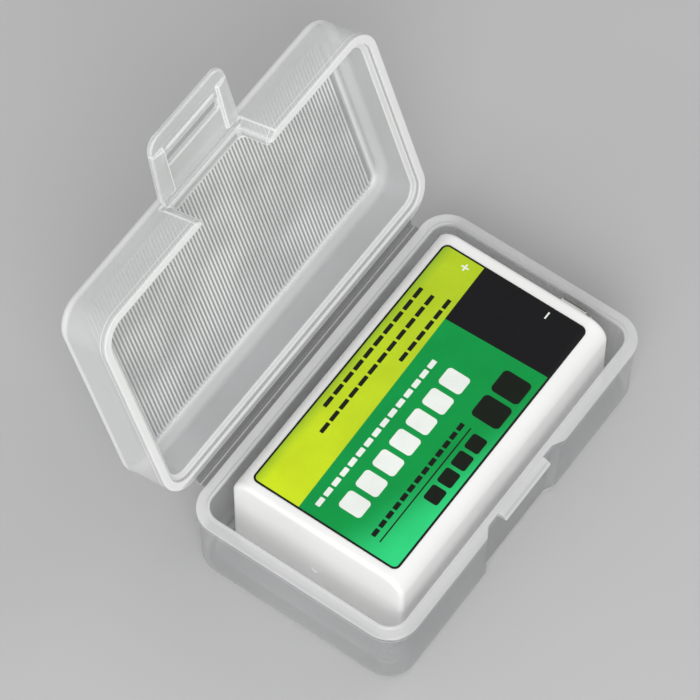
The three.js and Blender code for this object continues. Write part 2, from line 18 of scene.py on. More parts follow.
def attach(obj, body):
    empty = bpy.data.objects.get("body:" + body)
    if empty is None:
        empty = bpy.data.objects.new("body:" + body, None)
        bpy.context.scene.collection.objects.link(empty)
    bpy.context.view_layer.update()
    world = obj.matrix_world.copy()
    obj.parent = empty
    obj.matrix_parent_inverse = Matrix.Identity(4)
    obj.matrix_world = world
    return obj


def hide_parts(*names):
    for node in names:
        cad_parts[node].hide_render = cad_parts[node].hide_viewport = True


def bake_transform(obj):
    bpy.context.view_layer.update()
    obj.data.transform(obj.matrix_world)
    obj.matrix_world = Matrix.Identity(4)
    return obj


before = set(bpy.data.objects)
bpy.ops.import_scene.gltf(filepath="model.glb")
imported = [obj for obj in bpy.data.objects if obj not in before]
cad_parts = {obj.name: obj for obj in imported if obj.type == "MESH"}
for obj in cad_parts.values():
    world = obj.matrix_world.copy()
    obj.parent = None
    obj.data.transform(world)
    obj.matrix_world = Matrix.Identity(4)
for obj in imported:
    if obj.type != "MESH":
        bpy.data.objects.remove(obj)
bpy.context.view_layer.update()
MM = 0.001

# %% [markdown]
# ## The camera
#
# The photograph looks down steeply onto the near left corner of the open case, from far away with a
# long lens, so parallel edges stay almost parallel. The numbers below come from lining up the case's
# corners with the picture: a turn round the upright axis, a height above the level, a small roll,
# and how far the middle of the picture lies from the origin. A camera in Blender looks along its own
# minus Z, so its axes are set out directly and put in one matrix. That is easier to check than a
# chain of rotations.

# %% Place the camera
VIEW_TURN = math.radians(-54.627)
VIEW_HEIGHT = math.radians(60.276)
VIEW_ROLL = math.radians(0.232)
VIEW_TARGET = Vector((0, 0, 10.0))
VIEW_OFFSET = (8.899, -10.569)
VIEW_DISTANCE = 594.72
FOCAL_PIXELS = 4604.0
PICTURE_PIXELS = 700
SENSOR = 36.0

ahead = Vector((-math.sin(VIEW_TURN) * math.cos(VIEW_HEIGHT),
                math.cos(VIEW_TURN) * math.cos(VIEW_HEIGHT),
                -math.sin(VIEW_HEIGHT)))
level = Vector((math.cos(VIEW_TURN), math.sin(VIEW_TURN), 0))
upward = level.cross(ahead)
picture_x = level * math.cos(VIEW_ROLL) + upward * math.sin(VIEW_ROLL)
picture_y = upward * math.cos(VIEW_ROLL) - level * math.sin(VIEW_ROLL)
stand = VIEW_TARGET - ahead * VIEW_DISTANCE - picture_x * VIEW_OFFSET[0] - picture_y * VIEW_OFFSET[1]

camera_data = bpy.data.cameras.new("camera")
camera_data.sensor_width = SENSOR
camera_data.lens = FOCAL_PIXELS * SENSOR / PICTURE_PIXELS
camera_data.clip_start, camera_data.clip_end = 0.01, 10
camera = bpy.data.objects.new("camera", camera_data)
bpy.context.scene.collection.objects.link(camera)
picture_axes = Matrix((picture_x, picture_y, -ahead)).transposed().to_4x4()
camera.matrix_world = Matrix.Translation(stand * MM) @ picture_axes
bpy.context.scene.camera = camera
print("lens in mm:", round(camera_data.lens, 1), "camera at", [round(value, 3) for value in camera.location])

# %% [markdown]
# ## Floor and light
#
# Frosted plastic shows its shape by its edges and by what lies behind it, so the studio stays plain:
# one pale floor, an even sky for the light that passes through the plastic, and one big soft lamp
# overhead on the left, because in the photograph the battery's top is its brightest face. A weaker
# lamp low on the left reaches its near end, which comes next, and one on the right softens the
# shadows. The levels are set so that a colour renders about as bright as it is written.

# %% Light the studio
FLOOR_SHADE = (0.52, 0.52, 0.525, 1)
SKY_STRENGTH = 0.55
LAMP_WATTS = 1.68
FILL_WATTS = 0.3
SIDE_WATTS = 0.42
CASE_MIDDLE = (0, 0, 0.01)


def add_lamp(name, place, aim, size, watts):
    data = bpy.data.lights.new(name, "AREA")
    data.shape, data.size, data.energy = "DISK", size, watts
    lamp = bpy.data.objects.new(name, data)
    bpy.context.scene.collection.objects.link(lamp)
    lamp.location = place
    lamp.rotation_mode = "QUATERNION"
    lamp.rotation_quaternion = (Vector(aim) - Vector(place)).to_track_quat("-Z", "Y")


sky = bpy.data.worlds.new("studio")
sky.use_nodes = True
sky.node_tree.nodes["Background"].inputs["Color"].default_value = (1, 1, 1, 1)
sky.node_tree.nodes["Background"].inputs["Strength"].default_value = SKY_STRENGTH
bpy.context.scene.world = sky
add_lamp("key", (-0.34, -0.24, 0.41), CASE_MIDDLE, 0.34, LAMP_WATTS)
add_lamp("fill", (0.36, -0.10, 0.30), CASE_MIDDLE, 0.30, FILL_WATTS)
add_lamp("side", (-0.48, -0.04, 0.16), (0, 0, 0.012), 0.26, SIDE_WATTS)
bpy.context.scene.view_settings.view_transform = "Standard"

# %% [markdown]
# ## Wiring a finish
#
# A finish is a small chain of nodes. Writing each link by hand takes several lines, so a short
# helper adds a node, sets its values and joins what is passed to it. An input may be a number, a
# colour or another node's output, and the helper treats each as what it is. A socket is named, or
# counted as i0, i1 and so on where several have one name. A spread maps one range softly onto
# another. A window is one inside a range and nought outside it.

# %% A helper that wires nodes
class Finish:
    def __init__(self, name):
        self.material = bpy.data.materials.new(name)
        self.material.use_nodes = True
        self.tree = self.material.node_tree
        self.shader = self.tree.nodes["Principled BSDF"]

    def feed(self, socket, value):
        if isinstance(value, bpy.types.NodeSocket):
            self.tree.links.new(value, socket)
        elif value is not None:
            socket.default_value = value

    def node(self, kind, output=0, settings=None, **inputs):
        made = self.tree.nodes.new(kind)
        for key, value in (settings or {}).items():
            setattr(made, key, value)
        for key, value in inputs.items():
            counted = key[0] == "i" and key[1:].isdigit()
            self.feed(made.inputs[int(key[1:]) if counted else key], value)
        return made.outputs[output]

    def math(self, operation, *values):
        inputs = {f"i{number}": value for number, value in enumerate(values)}
        return self.node("ShaderNodeMath", settings={"operation": operation}, **inputs)

    def times(self, first, second):
        return self.math("MULTIPLY", first, second)

    def dot(self, first, second):
        return self.node("ShaderNodeVectorMath", 1, {"operation": "DOT_PRODUCT"}, i0=first, i1=second)

    def scale(self, vector, factor):
        return self.node("ShaderNodeVectorMath", 0, {"operation": "SCALE"}, i0=vector, Scale=factor)

    def axes(self, vector):
        return list(self.node("ShaderNodeSeparateXYZ", Vector=vector).node.outputs)

    def blend(self, share, first, second):
        return self.node("ShaderNodeMix", 2, {"data_type": "RGBA"}, i0=share, i6=first, i7=second)

    def spread(self, value, low, high, to_low=0.0, to_high=1.0, smooth=True):
        settings = {"interpolation_type": "SMOOTHSTEP" if smooth else "LINEAR", "clamp": True}
        return self.node("ShaderNodeMapRange", 0, settings, i0=value, i1=low, i2=high, i3=to_low, i4=to_high)

    def window(self, value, low, high, soft=0.05):
        rise = self.spread(value, low - soft, low + soft)
        return self.times(rise, self.spread(value, high + soft, high - soft))

    def set(self, **values):
        for key, value in values.items():
            self.feed(self.shader.inputs[key.replace("_", " ")], value)
        return self.material


print("node helper ready:", ", ".join(name for name in vars(Finish) if not name.startswith("_")))

# %% [markdown]
# ## Where on the piece a point is
#
# Most finishes need to know where they are on the object. The object coordinate is the plain choice:
# it stays with the piece when the lid turns, and needs no unwrapping. It comes in metres, so it is
# scaled to millimetres first. Clouds of noise then make a colour or a gloss vary slowly over the
# surface, as it does on moulded plastic, and finer clouds give print, paper and metal their grain.

# %% Places, clouds and grain
CLOUD_LOW, CLOUD_HIGH = 0.3, 0.7


def places(finish):
    return finish.scale(finish.node("ShaderNodeTexCoord", 3), 1 / MM)


def clouds(finish, spot, size_mm, detail=3.0, rough=0.5):
    inputs = {"Vector": spot, "Scale": 1 / size_mm, "Detail": detail, "Roughness": rough}
    return finish.node("ShaderNodeTexNoise", **inputs)


def varied(finish, spot, size_mm, low=0.0, high=1.0, detail=3.0, rough=0.5):
    return finish.spread(clouds(finish, spot, size_mm, detail, rough), CLOUD_LOW, CLOUD_HIGH, low, high)


def moulded_gloss(finish, spot, size_mm=6.0):
    return varied(finish, spot, size_mm, 0.3, 0.38, 1.0)


def grain(finish, spot, size_mm, depth_mm, strength):
    height = clouds(finish, spot, size_mm, 2.0)
    return finish.node("ShaderNodeBump", Strength=strength, Distance=depth_mm * MM, Height=height)


print("clouds and grain ready")

# %% [markdown]
# ## Frosted clear plastic
#
# The case is polypropylene, clear but milky. Two things make it look so in the photograph. Flat
# walls are see-through and greyish, because much of the light goes straight on. Every edge, rim and
# corner is nearly white, because light that has travelled inside the sheet leaves there. A glass
# shader could be tried, but thin milky walls then turn dark and speckled. It is simpler to say how
# much of what lies behind is covered: that is the shader's alpha, low on flat walls and high at
# edges. The mask for sharp edges comes from Blender's Bevel node, which gives the normal that the
# surface would have if it were rounded. Where that differs from the real normal, an edge is within
# reach. Wide roundings are found another way: there the normal leans part of the way towards the
# piece's own upright direction, so a window on that lean is a mask for them. Where light runs a long
# way inside the plastic, as in a rim or where a wall meets the panel, the place itself says so.

# %% Make the frosted plastic
EDGE_REACH_MM, EDGE_FAINT, EDGE_FULL = 0.5, 0.002, 0.05
WALL_TONE = (0.66, 0.665, 0.67, 1)
EDGE_TONE = (0.99, 0.99, 0.99, 1)
WALL_COVER, EDGE_COVER = 0.34, 0.96
PLASTIC_IOR = 1.49
UPRIGHT = (0, 0, 1)


def edge_mask(finish, reach_mm):
    rounded = finish.node("ShaderNodeBevel", 0, {"samples": 6}, Radius=reach_mm * MM)
    plain = finish.node("ShaderNodeNewGeometry", 1)
    bend = finish.math("SUBTRACT", 1.0, finish.dot(rounded, plain))
    return finish.spread(bend, EDGE_FAINT, EDGE_FULL)


def lean_towards(finish, up):
    return finish.math("ABSOLUTE", finish.dot(finish.node("ShaderNodeTexCoord", 1), up))


def rounding_mask(finish, up, strong):
    lean = lean_towards(finish, up)
    return finish.times(finish.spread(lean, 0.16, 0.5, 0.0, strong), finish.spread(lean, 0.995, 0.9))


def strongest(finish, masks):
    found = masks[0]
    for mask in masks[1:]:
        found = finish.math("MAXIMUM", found, mask)
    return found


def frosted(name, wall_tone=WALL_TONE, wall_cover=WALL_COVER, reach_mm=EDGE_REACH_MM, whiten=None):
    finish = Finish(name)
    spot = places(finish)
    edges = edge_mask(finish, reach_mm)
    if whiten is not None:
        edges = whiten(finish, spot, edges)
    wall = finish.scale(wall_tone[:3], varied(finish, spot, 11.0, 0.95, 1.05, 1.0))
    return finish.set(
        Base_Color=finish.blend(edges, wall, EDGE_TONE),
        Alpha=finish.spread(edges, 0.0, 1.0, wall_cover, EDGE_COVER, False),
        Roughness=moulded_gloss(finish, spot),
        IOR=PLASTIC_IOR,
    )


print("frosted plastic covers", WALL_COVER, "on flat walls and", EDGE_COVER, "at edges")

# %% Frost the tray
TRAY_TONE, TRAY_COVER = (0.55, 0.555, 0.56, 1), 0.36
TRAY_RIM_FROM, TRAY_FOOT_TO, CATCH_FROM = 12.62, 0.95, -16.9


def white_in_tray(finish, spot, edges):
    y, height = finish.axes(spot)[1:]
    edges = finish.times(edges, finish.spread(height, TRAY_RIM_FROM - 1.0, TRAY_RIM_FROM - 0.3, 0.75, 0.4))
    rim = finish.spread(height, TRAY_RIM_FROM - 0.1, TRAY_RIM_FROM + 0.1)
    rim = finish.times(rim, finish.spread(y, 12.5, 14.5, 0.46, 0.62))
    foot = finish.spread(height, TRAY_FOOT_TO + 0.25, TRAY_FOOT_TO - 0.25, 0.0, 0.45)
    foot = finish.times(foot, finish.spread(lean_towards(finish, UPRIGHT), 0.95, 0.8))
    catch = finish.spread(y, CATCH_FROM + 0.05, CATCH_FROM - 0.05, 0.0, 0.5)
    return strongest(finish, [edges, rim, foot, catch, rounding_mask(finish, UPRIGHT, 0.35)])


frosted_tray = frosted("frosted_tray", TRAY_TONE, TRAY_COVER, whiten=white_in_tray)
print("finish:", frosted_tray.name, "nodes:", len(frosted_tray.node_tree.nodes))

# %% [markdown]
# ## Building meshes from rings
#
# Moulded boxes are easy to describe as a pile of outlines: start in the middle of the underside, go
# out to the edge, up the wall, over the rim and down the inside. Each outline has the same number of
# points, so a skin of four sided faces joins one to the next, and a cap closes each end. The piece
# is then one closed body, as the real moulding is, and each rounding is only a few more outlines.

# %% Skins and shading
CREASE = math.radians(32)
MERGE_WITHIN, COLLAPSE_WITHIN = 1e-7, 1e-8


def to_object(name, points, faces):
    mesh = bpy.data.meshes.new(name)
    mesh.from_pydata((np.asarray(points, float) * MM).tolist(), [], faces)
    made = bpy.data.objects.new(name, mesh)
    bpy.context.scene.collection.objects.link(made)
    return made


def skin_faces(rings, points):
    at = np.arange(rings * points).reshape(rings, points)
    beside = np.roll(at, -1, axis=1)
    sides = np.stack([at[:-1], beside[:-1], beside[1:], at[1:]], axis=-1).reshape(-1, 4)
    return sides.tolist() + [at[0][::-1].tolist(), at[-1].tolist()]


def tidy(piece):
    work = bmesh.new()
    work.from_mesh(piece.data)
    bmesh.ops.remove_doubles(work, verts=work.verts, dist=MERGE_WITHIN)
    bmesh.ops.dissolve_degenerate(work, edges=work.edges, dist=COLLAPSE_WITHIN)
    bmesh.ops.recalc_face_normals(work, faces=work.faces)
    work.to_mesh(piece.data)
    work.free()
    piece.data.shade_smooth()
    piece.data.set_sharp_from_angle(angle=CREASE)
    return piece


def skin(name, rings):
    rings = np.asarray(rings, float)
    return tidy(to_object(name, rings.reshape(-1, 3), skin_faces(len(rings), rings.shape[1])))


def combine(piece, others, operation):
    for other in others:
        step = piece.modifiers.new("step", "BOOLEAN")
        step.operation, step.solver, step.object = operation, "EXACT", other
    made = bpy.data.meshes.new_from_object(piece.evaluated_get(bpy.context.evaluated_depsgraph_get()))
    piece.modifiers.clear()
    piece.data = made
    for other in others:
        bpy.data.objects.remove(other)
    return tidy(piece)


def report(piece):
    spots = np.array([vertex.co for vertex in piece.data.vertices]) / MM
    low, high = spots.min(0).round(2), spots.max(0).round(2)
    print(piece.name, "faces:", len(piece.data.polygons), "from", low, "to", high)


print("mesh helpers ready")

# %% [markdown]
# ## The outline that tray and lid share
#
# Tray and lid have the same outline, a rectangle with rounded corners. It is kept here as an inner
# rectangle with a direction at each point: stepping out along the directions gives the outline at
# any inset, with corners that shrink as they should. The front carries extra points where the
# finger recess and the lid's notch bend, because a bend can only show where the mesh has points.

# %% Lay out the outline
CASE_HALF, CORNER, CORNER_STEPS = (28.5, 16.8), 4.3, 14
flat_x, flat_y = CASE_HALF[0] - CORNER, CASE_HALF[1] - CORNER


def front_stations():
    bend = np.arange(5.65, 9.75, 0.13)
    half = np.concatenate([[1.7, 3.4, 5.0], bend, [10.5, 13.0, 18.0]])
    return np.concatenate([-half[::-1], [0.0], half])


def outline():
    rows = []
    quarter = np.linspace(0, math.pi / 2, CORNER_STEPS + 1)
    steps = [np.linspace(-flat_y, flat_y, 9)[1:-1], np.linspace(flat_x, -flat_x, 25)[1:-1],
             np.linspace(flat_y, -flat_y, 9)[1:-1], front_stations()]
    for side, (sign_x, sign_y) in enumerate([(1, 1), (-1, 1), (-1, -1), (1, -1)]):
        for along in steps[side]:
            if side % 2 == 0:
                rows.append((sign_x * flat_x, along, sign_x, 0))
            else:
                rows.append((along, sign_y * flat_y, 0, sign_y))
        turn = side * math.pi / 2 + quarter
        rows += [(sign_x * flat_x, sign_y * flat_y, math.cos(a), math.sin(a)) for a in turn]
    return np.array(rows, float)


OUTLINE = outline()
FRONT = OUTLINE[:, 3] < -0.999999
print("points round the case:", len(OUTLINE), "on the front:", int(FRONT.sum()))

# %% [markdown]
# ## One outline at a time
#
# A feature such as the finger recess is a depth that is asked for along the front. Taking the larger
# of that depth and the outline's own inset cuts the feature in. A soft version of larger and smaller,
# which rounds the crossing, gives the small radii that a mould has. Rows of insets and heights then
# make the outlines, and quarter circles between two rows make the roundings.

# %% Rings and soft cuts
def soft_max(a, b, round_mm=0.1):
    return 0.5 * (a + b + np.sqrt((a - b) ** 2 + round_mm**2))


def soft_min(a, b, round_mm=0.1):
    return -soft_max(-a, -b, round_mm)


def case_ring(inset, height, carve=None):
    step_in = np.full(len(OUTLINE), float(inset))
    if carve is not None:
        step_in[FRONT] = soft_max(step_in[FRONT], carve(OUTLINE[FRONT, 0], height))
    reach = CORNER - step_in
    x, y = OUTLINE[:, 0] + OUTLINE[:, 2] * reach, OUTLINE[:, 1] + OUTLINE[:, 3] * reach
    return np.stack([x, y, np.full(len(OUTLINE), float(height))], axis=1)


def rounding(start, end, flat_first, steps):
    (inset_a, height_a), (inset_b, height_b) = start, end
    inset_run, height_run = inset_b - inset_a, height_b - height_a
    angles = np.linspace(0, math.pi / 2, steps + 1)
    if flat_first:
        return [(inset_a + inset_run * math.sin(a), height_b - height_run * math.cos(a)) for a in angles]
    return [(inset_b - inset_run * math.cos(a), height_a + height_run * math.sin(a)) for a in angles]


print("quarter round:", np.round(rounding((1.0, 0.0), (0.0, 1.0), True, 2), 3).tolist())

# %% [markdown]
# ## The tray
#
# The tray is a shallow tub with walls that lean out slightly, so that it leaves the mould, and a
# lip round its top that the lid's rim meets. A low soft bead runs along the rim's inner edge and
# lands inside the lid. The front wall steps in to make room for the latch and for a fingertip under it.
# The profile runs from the middle of the underside to the middle of the floor inside.

# %% Draw the tray's profile
TRAY_TOP, TRAY_FLOOR, TRAY_WALL = 12.9, 0.85, 1.8
LIP_OUT, TRAY_LEAN_OUT, TRAY_LEAN_IN = 0.25, 0.34, 0.3
FOOT_ROUND, HOLLOW_ROUND, RIM_ROUND = 1.07, 0.9, 0.22
BEAD_FROM, BEAD_RUN, BEAD_CREST, BEAD_HIGH, BEAD_FALL = 1.18, 0.13, 1.62, 0.24, 0.26
RECESS_MOUTH, RECESS_RUN, RECESS_DEEP, RECESS_LEAN = 8.7, 1.5, 0.95, 0.45


def tray_skin_inset(height):
    return LIP_OUT + TRAY_LEAN_OUT * (1 - height / TRAY_TOP)


def tray_hollow_inset(height):
    return TRAY_WALL + TRAY_LEAN_IN * (1 - (height - TRAY_FLOOR) / (TRAY_TOP - TRAY_FLOOR))


def tray_outside():
    under = tray_skin_inset(0) + FOOT_ROUND
    foot = rounding((under, 0), (tray_skin_inset(FOOT_ROUND), FOOT_ROUND), True, 9)
    wall = [(tray_skin_inset(z), z) for z in (1.4, 3.0, 6.0, 9.0, 11.0, 11.45, 11.6)]
    lip = [(0.265, 11.66), (0.2, 11.74), (0.1, 11.84), (0.03, 11.9), (0.0, 11.97), (0.0, 12.1)]
    shoulder = TRAY_TOP - RIM_ROUND
    rim = [(0.0, shoulder - 0.12)] + rounding((0.0, shoulder), (RIM_ROUND, TRAY_TOP), False, 5)
    return [(under + 0.7, 0.0)] + foot + wall + lip + rim


def tray_inside():
    lean, crest, low = tray_hollow_inset, TRAY_TOP + BEAD_HIGH, TRAY_FLOOR + HOLLOW_ROUND
    rise = np.linspace(0, math.pi, 8)
    bead = [(BEAD_FROM + BEAD_RUN * a, TRAY_TOP + BEAD_HIGH * (1 - math.cos(a)) / 2) for a in rise]
    bead += rounding((BEAD_CREST, crest), (lean(TRAY_TOP), crest - BEAD_FALL), True, 6)[1:]
    wall = [(lean(z), z) for z in (12.6, 10.5, 7.5, 4.5, low + 0.3)]
    foot = rounding((lean(low), low), (lean(TRAY_FLOOR) + HOLLOW_ROUND, TRAY_FLOOR), False, 8)
    return bead + wall + foot + [(3.7, TRAY_FLOOR)]


print("tray profile rows:", len(tray_outside()) + len(tray_inside()))

# %% Skin the tray with its finger recess
def tray_recess(x, height):
    deep = RECESS_DEEP + RECESS_LEAN * (1 - height / TRAY_TOP)
    over = max(0.0, height - (TRAY_TOP - RIM_ROUND)) / RIM_ROUND
    deep_at_rim = RIM_ROUND * (1 - math.sqrt(max(0.0, 1 - over**2)))
    facet = (RECESS_MOUTH - np.abs(x)) * RECESS_DEEP / RECESS_RUN
    return soft_min(facet, np.full(len(x), deep)) + deep_at_rim


tray_rings = [case_ring(inset, height, tray_recess) for inset, height in tray_outside()]
tray_rings += [case_ring(inset, height) for inset, height in tray_inside()]
tray = skin("tray_shell", tray_rings)
report(tray)

# %% [markdown]
# ## The catch on the tray
#
# In the middle of the recess a short bar stands out, and the latch's slot snaps over it. It is
# moulded in one with the tray, so it is joined to it here and isn't a piece of its own. It has a
# sloped top for the latch to ride up, and all its edges are slightly round.

# %% Join the catch to the tray
CATCH_HALF, CATCH_OUT, CATCH_HIGH = 5.0, 1.3, 0.95


def catch_section(shrink):
    face, top = -CASE_HALF[1] + RECESS_DEEP, TRAY_TOP - 0.01
    tip, low = face - CATCH_OUT, TRAY_TOP - CATCH_HIGH
    points = [(face + 0.3, low), (face + 0.3, top), (face - 0.2, top), (face - 0.3, top - 0.02),
              (face - 0.45, top - 0.08), (tip + 0.28, top - 0.33), (tip + 0.14, top - 0.4),
              (tip + 0.04, top - 0.5), (tip, top - 0.6), (tip, low + 0.14), (tip + 0.03, low + 0.06),
              (tip + 0.09, low + 0.01), (tip + 0.2, low)]
    middle = np.array([face - CATCH_OUT / 2, (top + low) / 2])
    return [middle + (np.array(point) - middle) * (1 - shrink) for point in points]


catch_ends = [(-1, 0.16), (-0.99, 0.07), (-0.97, 0.02), (-0.945, 0.0)]
catch_ends += [(-side, shrink) for side, shrink in catch_ends[::-1]]
catch_rings = [[(side * CATCH_HALF, y, z) for y, z in catch_section(shrink)] for side, shrink in catch_ends]
tray = combine(tray, [skin("catch", catch_rings)], "UNION")
tray.data.materials.append(frosted_tray)
report(tray)

# %% Seat the tray on its body
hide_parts("base_tray")
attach(tray, "base")

# %% [markdown]
# ## The lid's own directions
#
# The lid was moulded lying open, and in the photograph it stands open past upright. It is far easier
# to draw shut: across, away from the hinge, and up towards its panel. One function then turns those
# three numbers about the hinge line to where the open lid is. The latch hangs on the lid in the same
# way, so its own two directions are turned first by its lean, and then with the lid.

# %% Turn lid and latch places into the open pose
HINGE_Y, HINGE_Z = 17.63, 13.05
LID_OPEN = math.radians(108.09)
LATCH_REACH, LATCH_LEVEL = 34.43, 5.9
LATCH_LEAN = math.radians(7)


def lid_place(rows):
    x, away, up = np.moveaxis(np.asarray(rows, float), -1, 0)
    y = HINGE_Y - away * math.cos(LID_OPEN) + up * math.sin(LID_OPEN)
    z = HINGE_Z + away * math.sin(LID_OPEN) + up * math.cos(LID_OPEN)
    return np.stack([x, y, z], axis=-1)


def latch_place(rows):
    x, along, out = np.moveaxis(np.asarray(rows, float), -1, 0)
    away = LATCH_REACH + along * math.cos(LATCH_LEAN) + out * math.sin(LATCH_LEAN)
    up = LATCH_LEVEL - along * math.sin(LATCH_LEAN) + out * math.cos(LATCH_LEAN)
    return lid_place(np.stack([x, away, up], axis=-1))


print("latch hinge in the open pose:", latch_place([0, 0, 0]).round(2))

# %% [markdown]
# ## The lid
#
# The lid is a shallower tub with a stepped rim: a thin outer skirt that meets the tray's lip, and a
# ledge inside it that clears the bead. At the front the skirt has a notch with slanted sides, which
# the latch swings through, and a shallow groove above it for the latch's hinge.

# %% Draw the lid's profile
LID_MOUTH, LID_TOP, LID_SKIRT, LID_WALL, LID_LEDGE, LID_ROOF = 0.15, 8.16, 1.25, 2.0, 0.95, 6.91
LID_LEAN_OUT, LID_LEAN_IN, LID_EDGE_ROUND, LID_HOLLOW_ROUND = 0.26, 0.65, 0.93, 0.6
NOTCH_MOUTH, NOTCH_FLOOR, NOTCH_DEEP, NOTCH_TOP = 8.4, 7.0, 0.9, 5.6
GROOVE_LOW, GROOVE_HIGH, GROOVE_DEEP = 5.5, 6.3, 0.43


def lid_skin_inset(height):
    return LID_LEAN_OUT * (height - LID_MOUTH) / (LID_TOP - LID_MOUTH)


def lid_hollow_inset(height):
    return LID_WALL + LID_LEAN_IN * (height - LID_LEDGE) / (LID_ROOF - LID_LEDGE)


def lid_outside():
    lean, shoulder = lid_skin_inset, LID_TOP - LID_EDGE_ROUND
    crown = rounding((lean(shoulder), shoulder), (lean(LID_TOP) + LID_EDGE_ROUND, LID_TOP), False, 9)[::-1]
    groove = [GROOVE_HIGH + step for step in (0.5, 0.2, 0.1, 0.05, 0, -0.05, -0.1, -0.2, -0.4)]
    ledge = [NOTCH_TOP + step for step in (0.2, 0.1, 0.05, 0, -0.04, -0.08, -0.12, -0.18, -0.3)]
    wall = [(lean(height), height) for height in groove + ledge + [4.2, 3.0, 1.8, 0.8]]
    rim = [(0.0, LID_MOUTH + 0.3)] + rounding((0.0, LID_MOUTH + 0.18), (0.18, LID_MOUTH), False, 5)
    return [(2.6, LID_TOP)] + crown + wall + rim + [(0.35, LID_MOUTH), (0.98, LID_MOUTH)]


def lid_inside():
    lean, shoulder = lid_hollow_inset, LID_ROOF - LID_HOLLOW_ROUND
    skirt = rounding((1.12, LID_MOUTH), (LID_SKIRT, LID_MOUTH + 0.13), True, 3)
    step = [(LID_SKIRT, 0.5), (LID_SKIRT, 0.82), (1.28, 0.91)]
    step += [(inset, LID_LEDGE) for inset in (1.36, 1.6, 1.8)]
    ledge = rounding((1.86, LID_LEDGE), (2.0, LID_LEDGE + 0.14), True, 4)
    wall = [(lean(height), height) for height in (1.4, 2.6, 3.8, 5.0, 6.0)]
    hollow = rounding((lean(shoulder), shoulder), (lean(LID_ROOF) + LID_HOLLOW_ROUND, LID_ROOF), False, 7)
    return skirt + step + ledge + wall + hollow + [(3.9, LID_ROOF)]


print("lid profile rows:", len(lid_outside()) + len(lid_inside()))

# %% Skin the lid with its notch and groove
def lid_front(x, height):
    far = np.abs(x)
    facet = (NOTCH_MOUTH - far) * NOTCH_DEEP / (NOTCH_MOUTH - NOTCH_FLOOR)
    notch = soft_min(facet, np.full(len(x), min(NOTCH_DEEP, (NOTCH_TOP - height) * 8)))
    lift = min((height - GROOVE_LOW) * 8, (GROOVE_HIGH - height) * 6, GROOVE_DEEP)
    groove = soft_min((NOTCH_MOUTH + 0.05 - far) * 6, np.full(len(x), lift), 0.08)
    return soft_max(notch, groove, 0.05)


def case_to_lid(ring):
    return np.stack([ring[:, 0], HINGE_Y - ring[:, 1], ring[:, 2]], axis=1)


lid_rings = [case_ring(inset, height, lid_front) for inset, height in lid_outside()]
lid_rings += [case_ring(inset, height) for inset, height in lid_inside()]
lid = skin("lid_shell", [lid_place(case_to_lid(ring)) for ring in lid_rings])
report(lid)

# %% [markdown]
# ## The notch through the lid's front
#
# The middle of the notch goes right through the wall. A cutter does this, and a cutter can also
# round the edges that it leaves: it is a pile of arch shaped outlines, a little larger where it
# leaves each face of the wall. The arch's feet flare, so the wall's ends turn softly into the rim.

# %% Cut the notch
ARCH_CORNER, ARCH_FLARE, ARCH_SOFT, ARCH_PAST = 0.7, 0.75, 0.3, 2.2


def arch(grow):
    half, top, foot = NOTCH_FLOOR + grow, NOTCH_TOP + grow, LID_MOUTH
    corner, flare = ARCH_CORNER + grow, max(ARCH_FLARE - grow, 0.1)
    turn = np.linspace(0, math.pi / 2, 7)
    points = [(half + 1.6, foot - 1.0), (half + 1.6, foot - 0.001)]
    points += [(half + flare * (1 - math.sin(a)), foot + flare * (1 - math.cos(a))) for a in turn]
    points += [(half - corner * (1 - math.cos(a)), top - corner * (1 - math.sin(a))) for a in turn]
    return points + [(-x, up) for x, up in points[::-1]]


def arch_depths():
    outer, inner = LATCH_REACH - NOTCH_DEEP, LATCH_REACH - LID_WALL
    turn = np.linspace(0, math.pi / 2, 6)
    soft = [(ARCH_SOFT * (1 - math.sin(a)), ARCH_SOFT * (1 - math.cos(a))) for a in turn]
    rows = [(outer + ARCH_PAST, ARCH_SOFT), (outer + 0.02, ARCH_SOFT)]
    rows += [(outer - down, grow) for grow, down in soft]
    rows += [(inner - 0.1 + down, grow) for grow, down in soft[::-1]]
    return rows + [(inner - ARCH_PAST, ARCH_SOFT)]


arches = [lid_place([(x, away, up) for x, up in arch(grow)]) for away, grow in arch_depths()]
lid = combine(lid, [skin("arch", arches)], "DIFFERENCE")
report(lid)

# %% [markdown]
# ## Ribs inside the panel
#
# The lid's panel has fine ribs across its whole inside, which show as the stripes in the photograph.
# They are one comb of about eighty rounded ridges, drawn as a wavy outline, and joined to the panel.
# Their crests catch the light, so they get a second finish that runs from grey in the valleys to
# white on the crests, read from the distance below the panel.

# %% Join the comb of ribs
RIB_PITCH, RIB_WIDTH, RIB_HIGH, RIB_SUNK, COMB_IN = 0.603, 0.43, 0.22, 0.01, 2.35
RIB_SPAN = 2 * (CASE_HALF[0] - LID_WALL - LID_LEAN_IN - 1.0)
RIB_COUNT = int(RIB_SPAN / RIB_PITCH)


def comb_section():
    bump = np.linspace(0, math.pi, 7)
    root, high = LID_ROOF + RIB_SUNK, RIB_HIGH + RIB_SUNK
    line = []
    for rib in range(RIB_COUNT):
        middle = (rib - (RIB_COUNT - 1) / 2) * RIB_PITCH
        line += [(middle - RIB_WIDTH / 2 * math.cos(a), root - high * math.sin(a)) for a in bump]
    edge = RIB_COUNT * RIB_PITCH / 2
    return [(-edge, LID_ROOF + 0.3)] + line + [(edge, LID_ROOF + 0.3)]


def comb():
    near, far = HINGE_Y - CASE_HALF[1] + COMB_IN, LATCH_REACH - COMB_IN
    ends = [lid_place([(x, away, up) for x, up in comb_section()]) for away in (near, far)]
    return skin("comb", ends)


rib_comb = comb()
for piece in (lid, rib_comb):
    for finish_slot in range(2):
        piece.data.materials.append(None)
rib_comb.data.polygons.foreach_set("material_index", [1] * len(rib_comb.data.polygons))
lid = combine(lid, [rib_comb], "UNION")
report(lid)
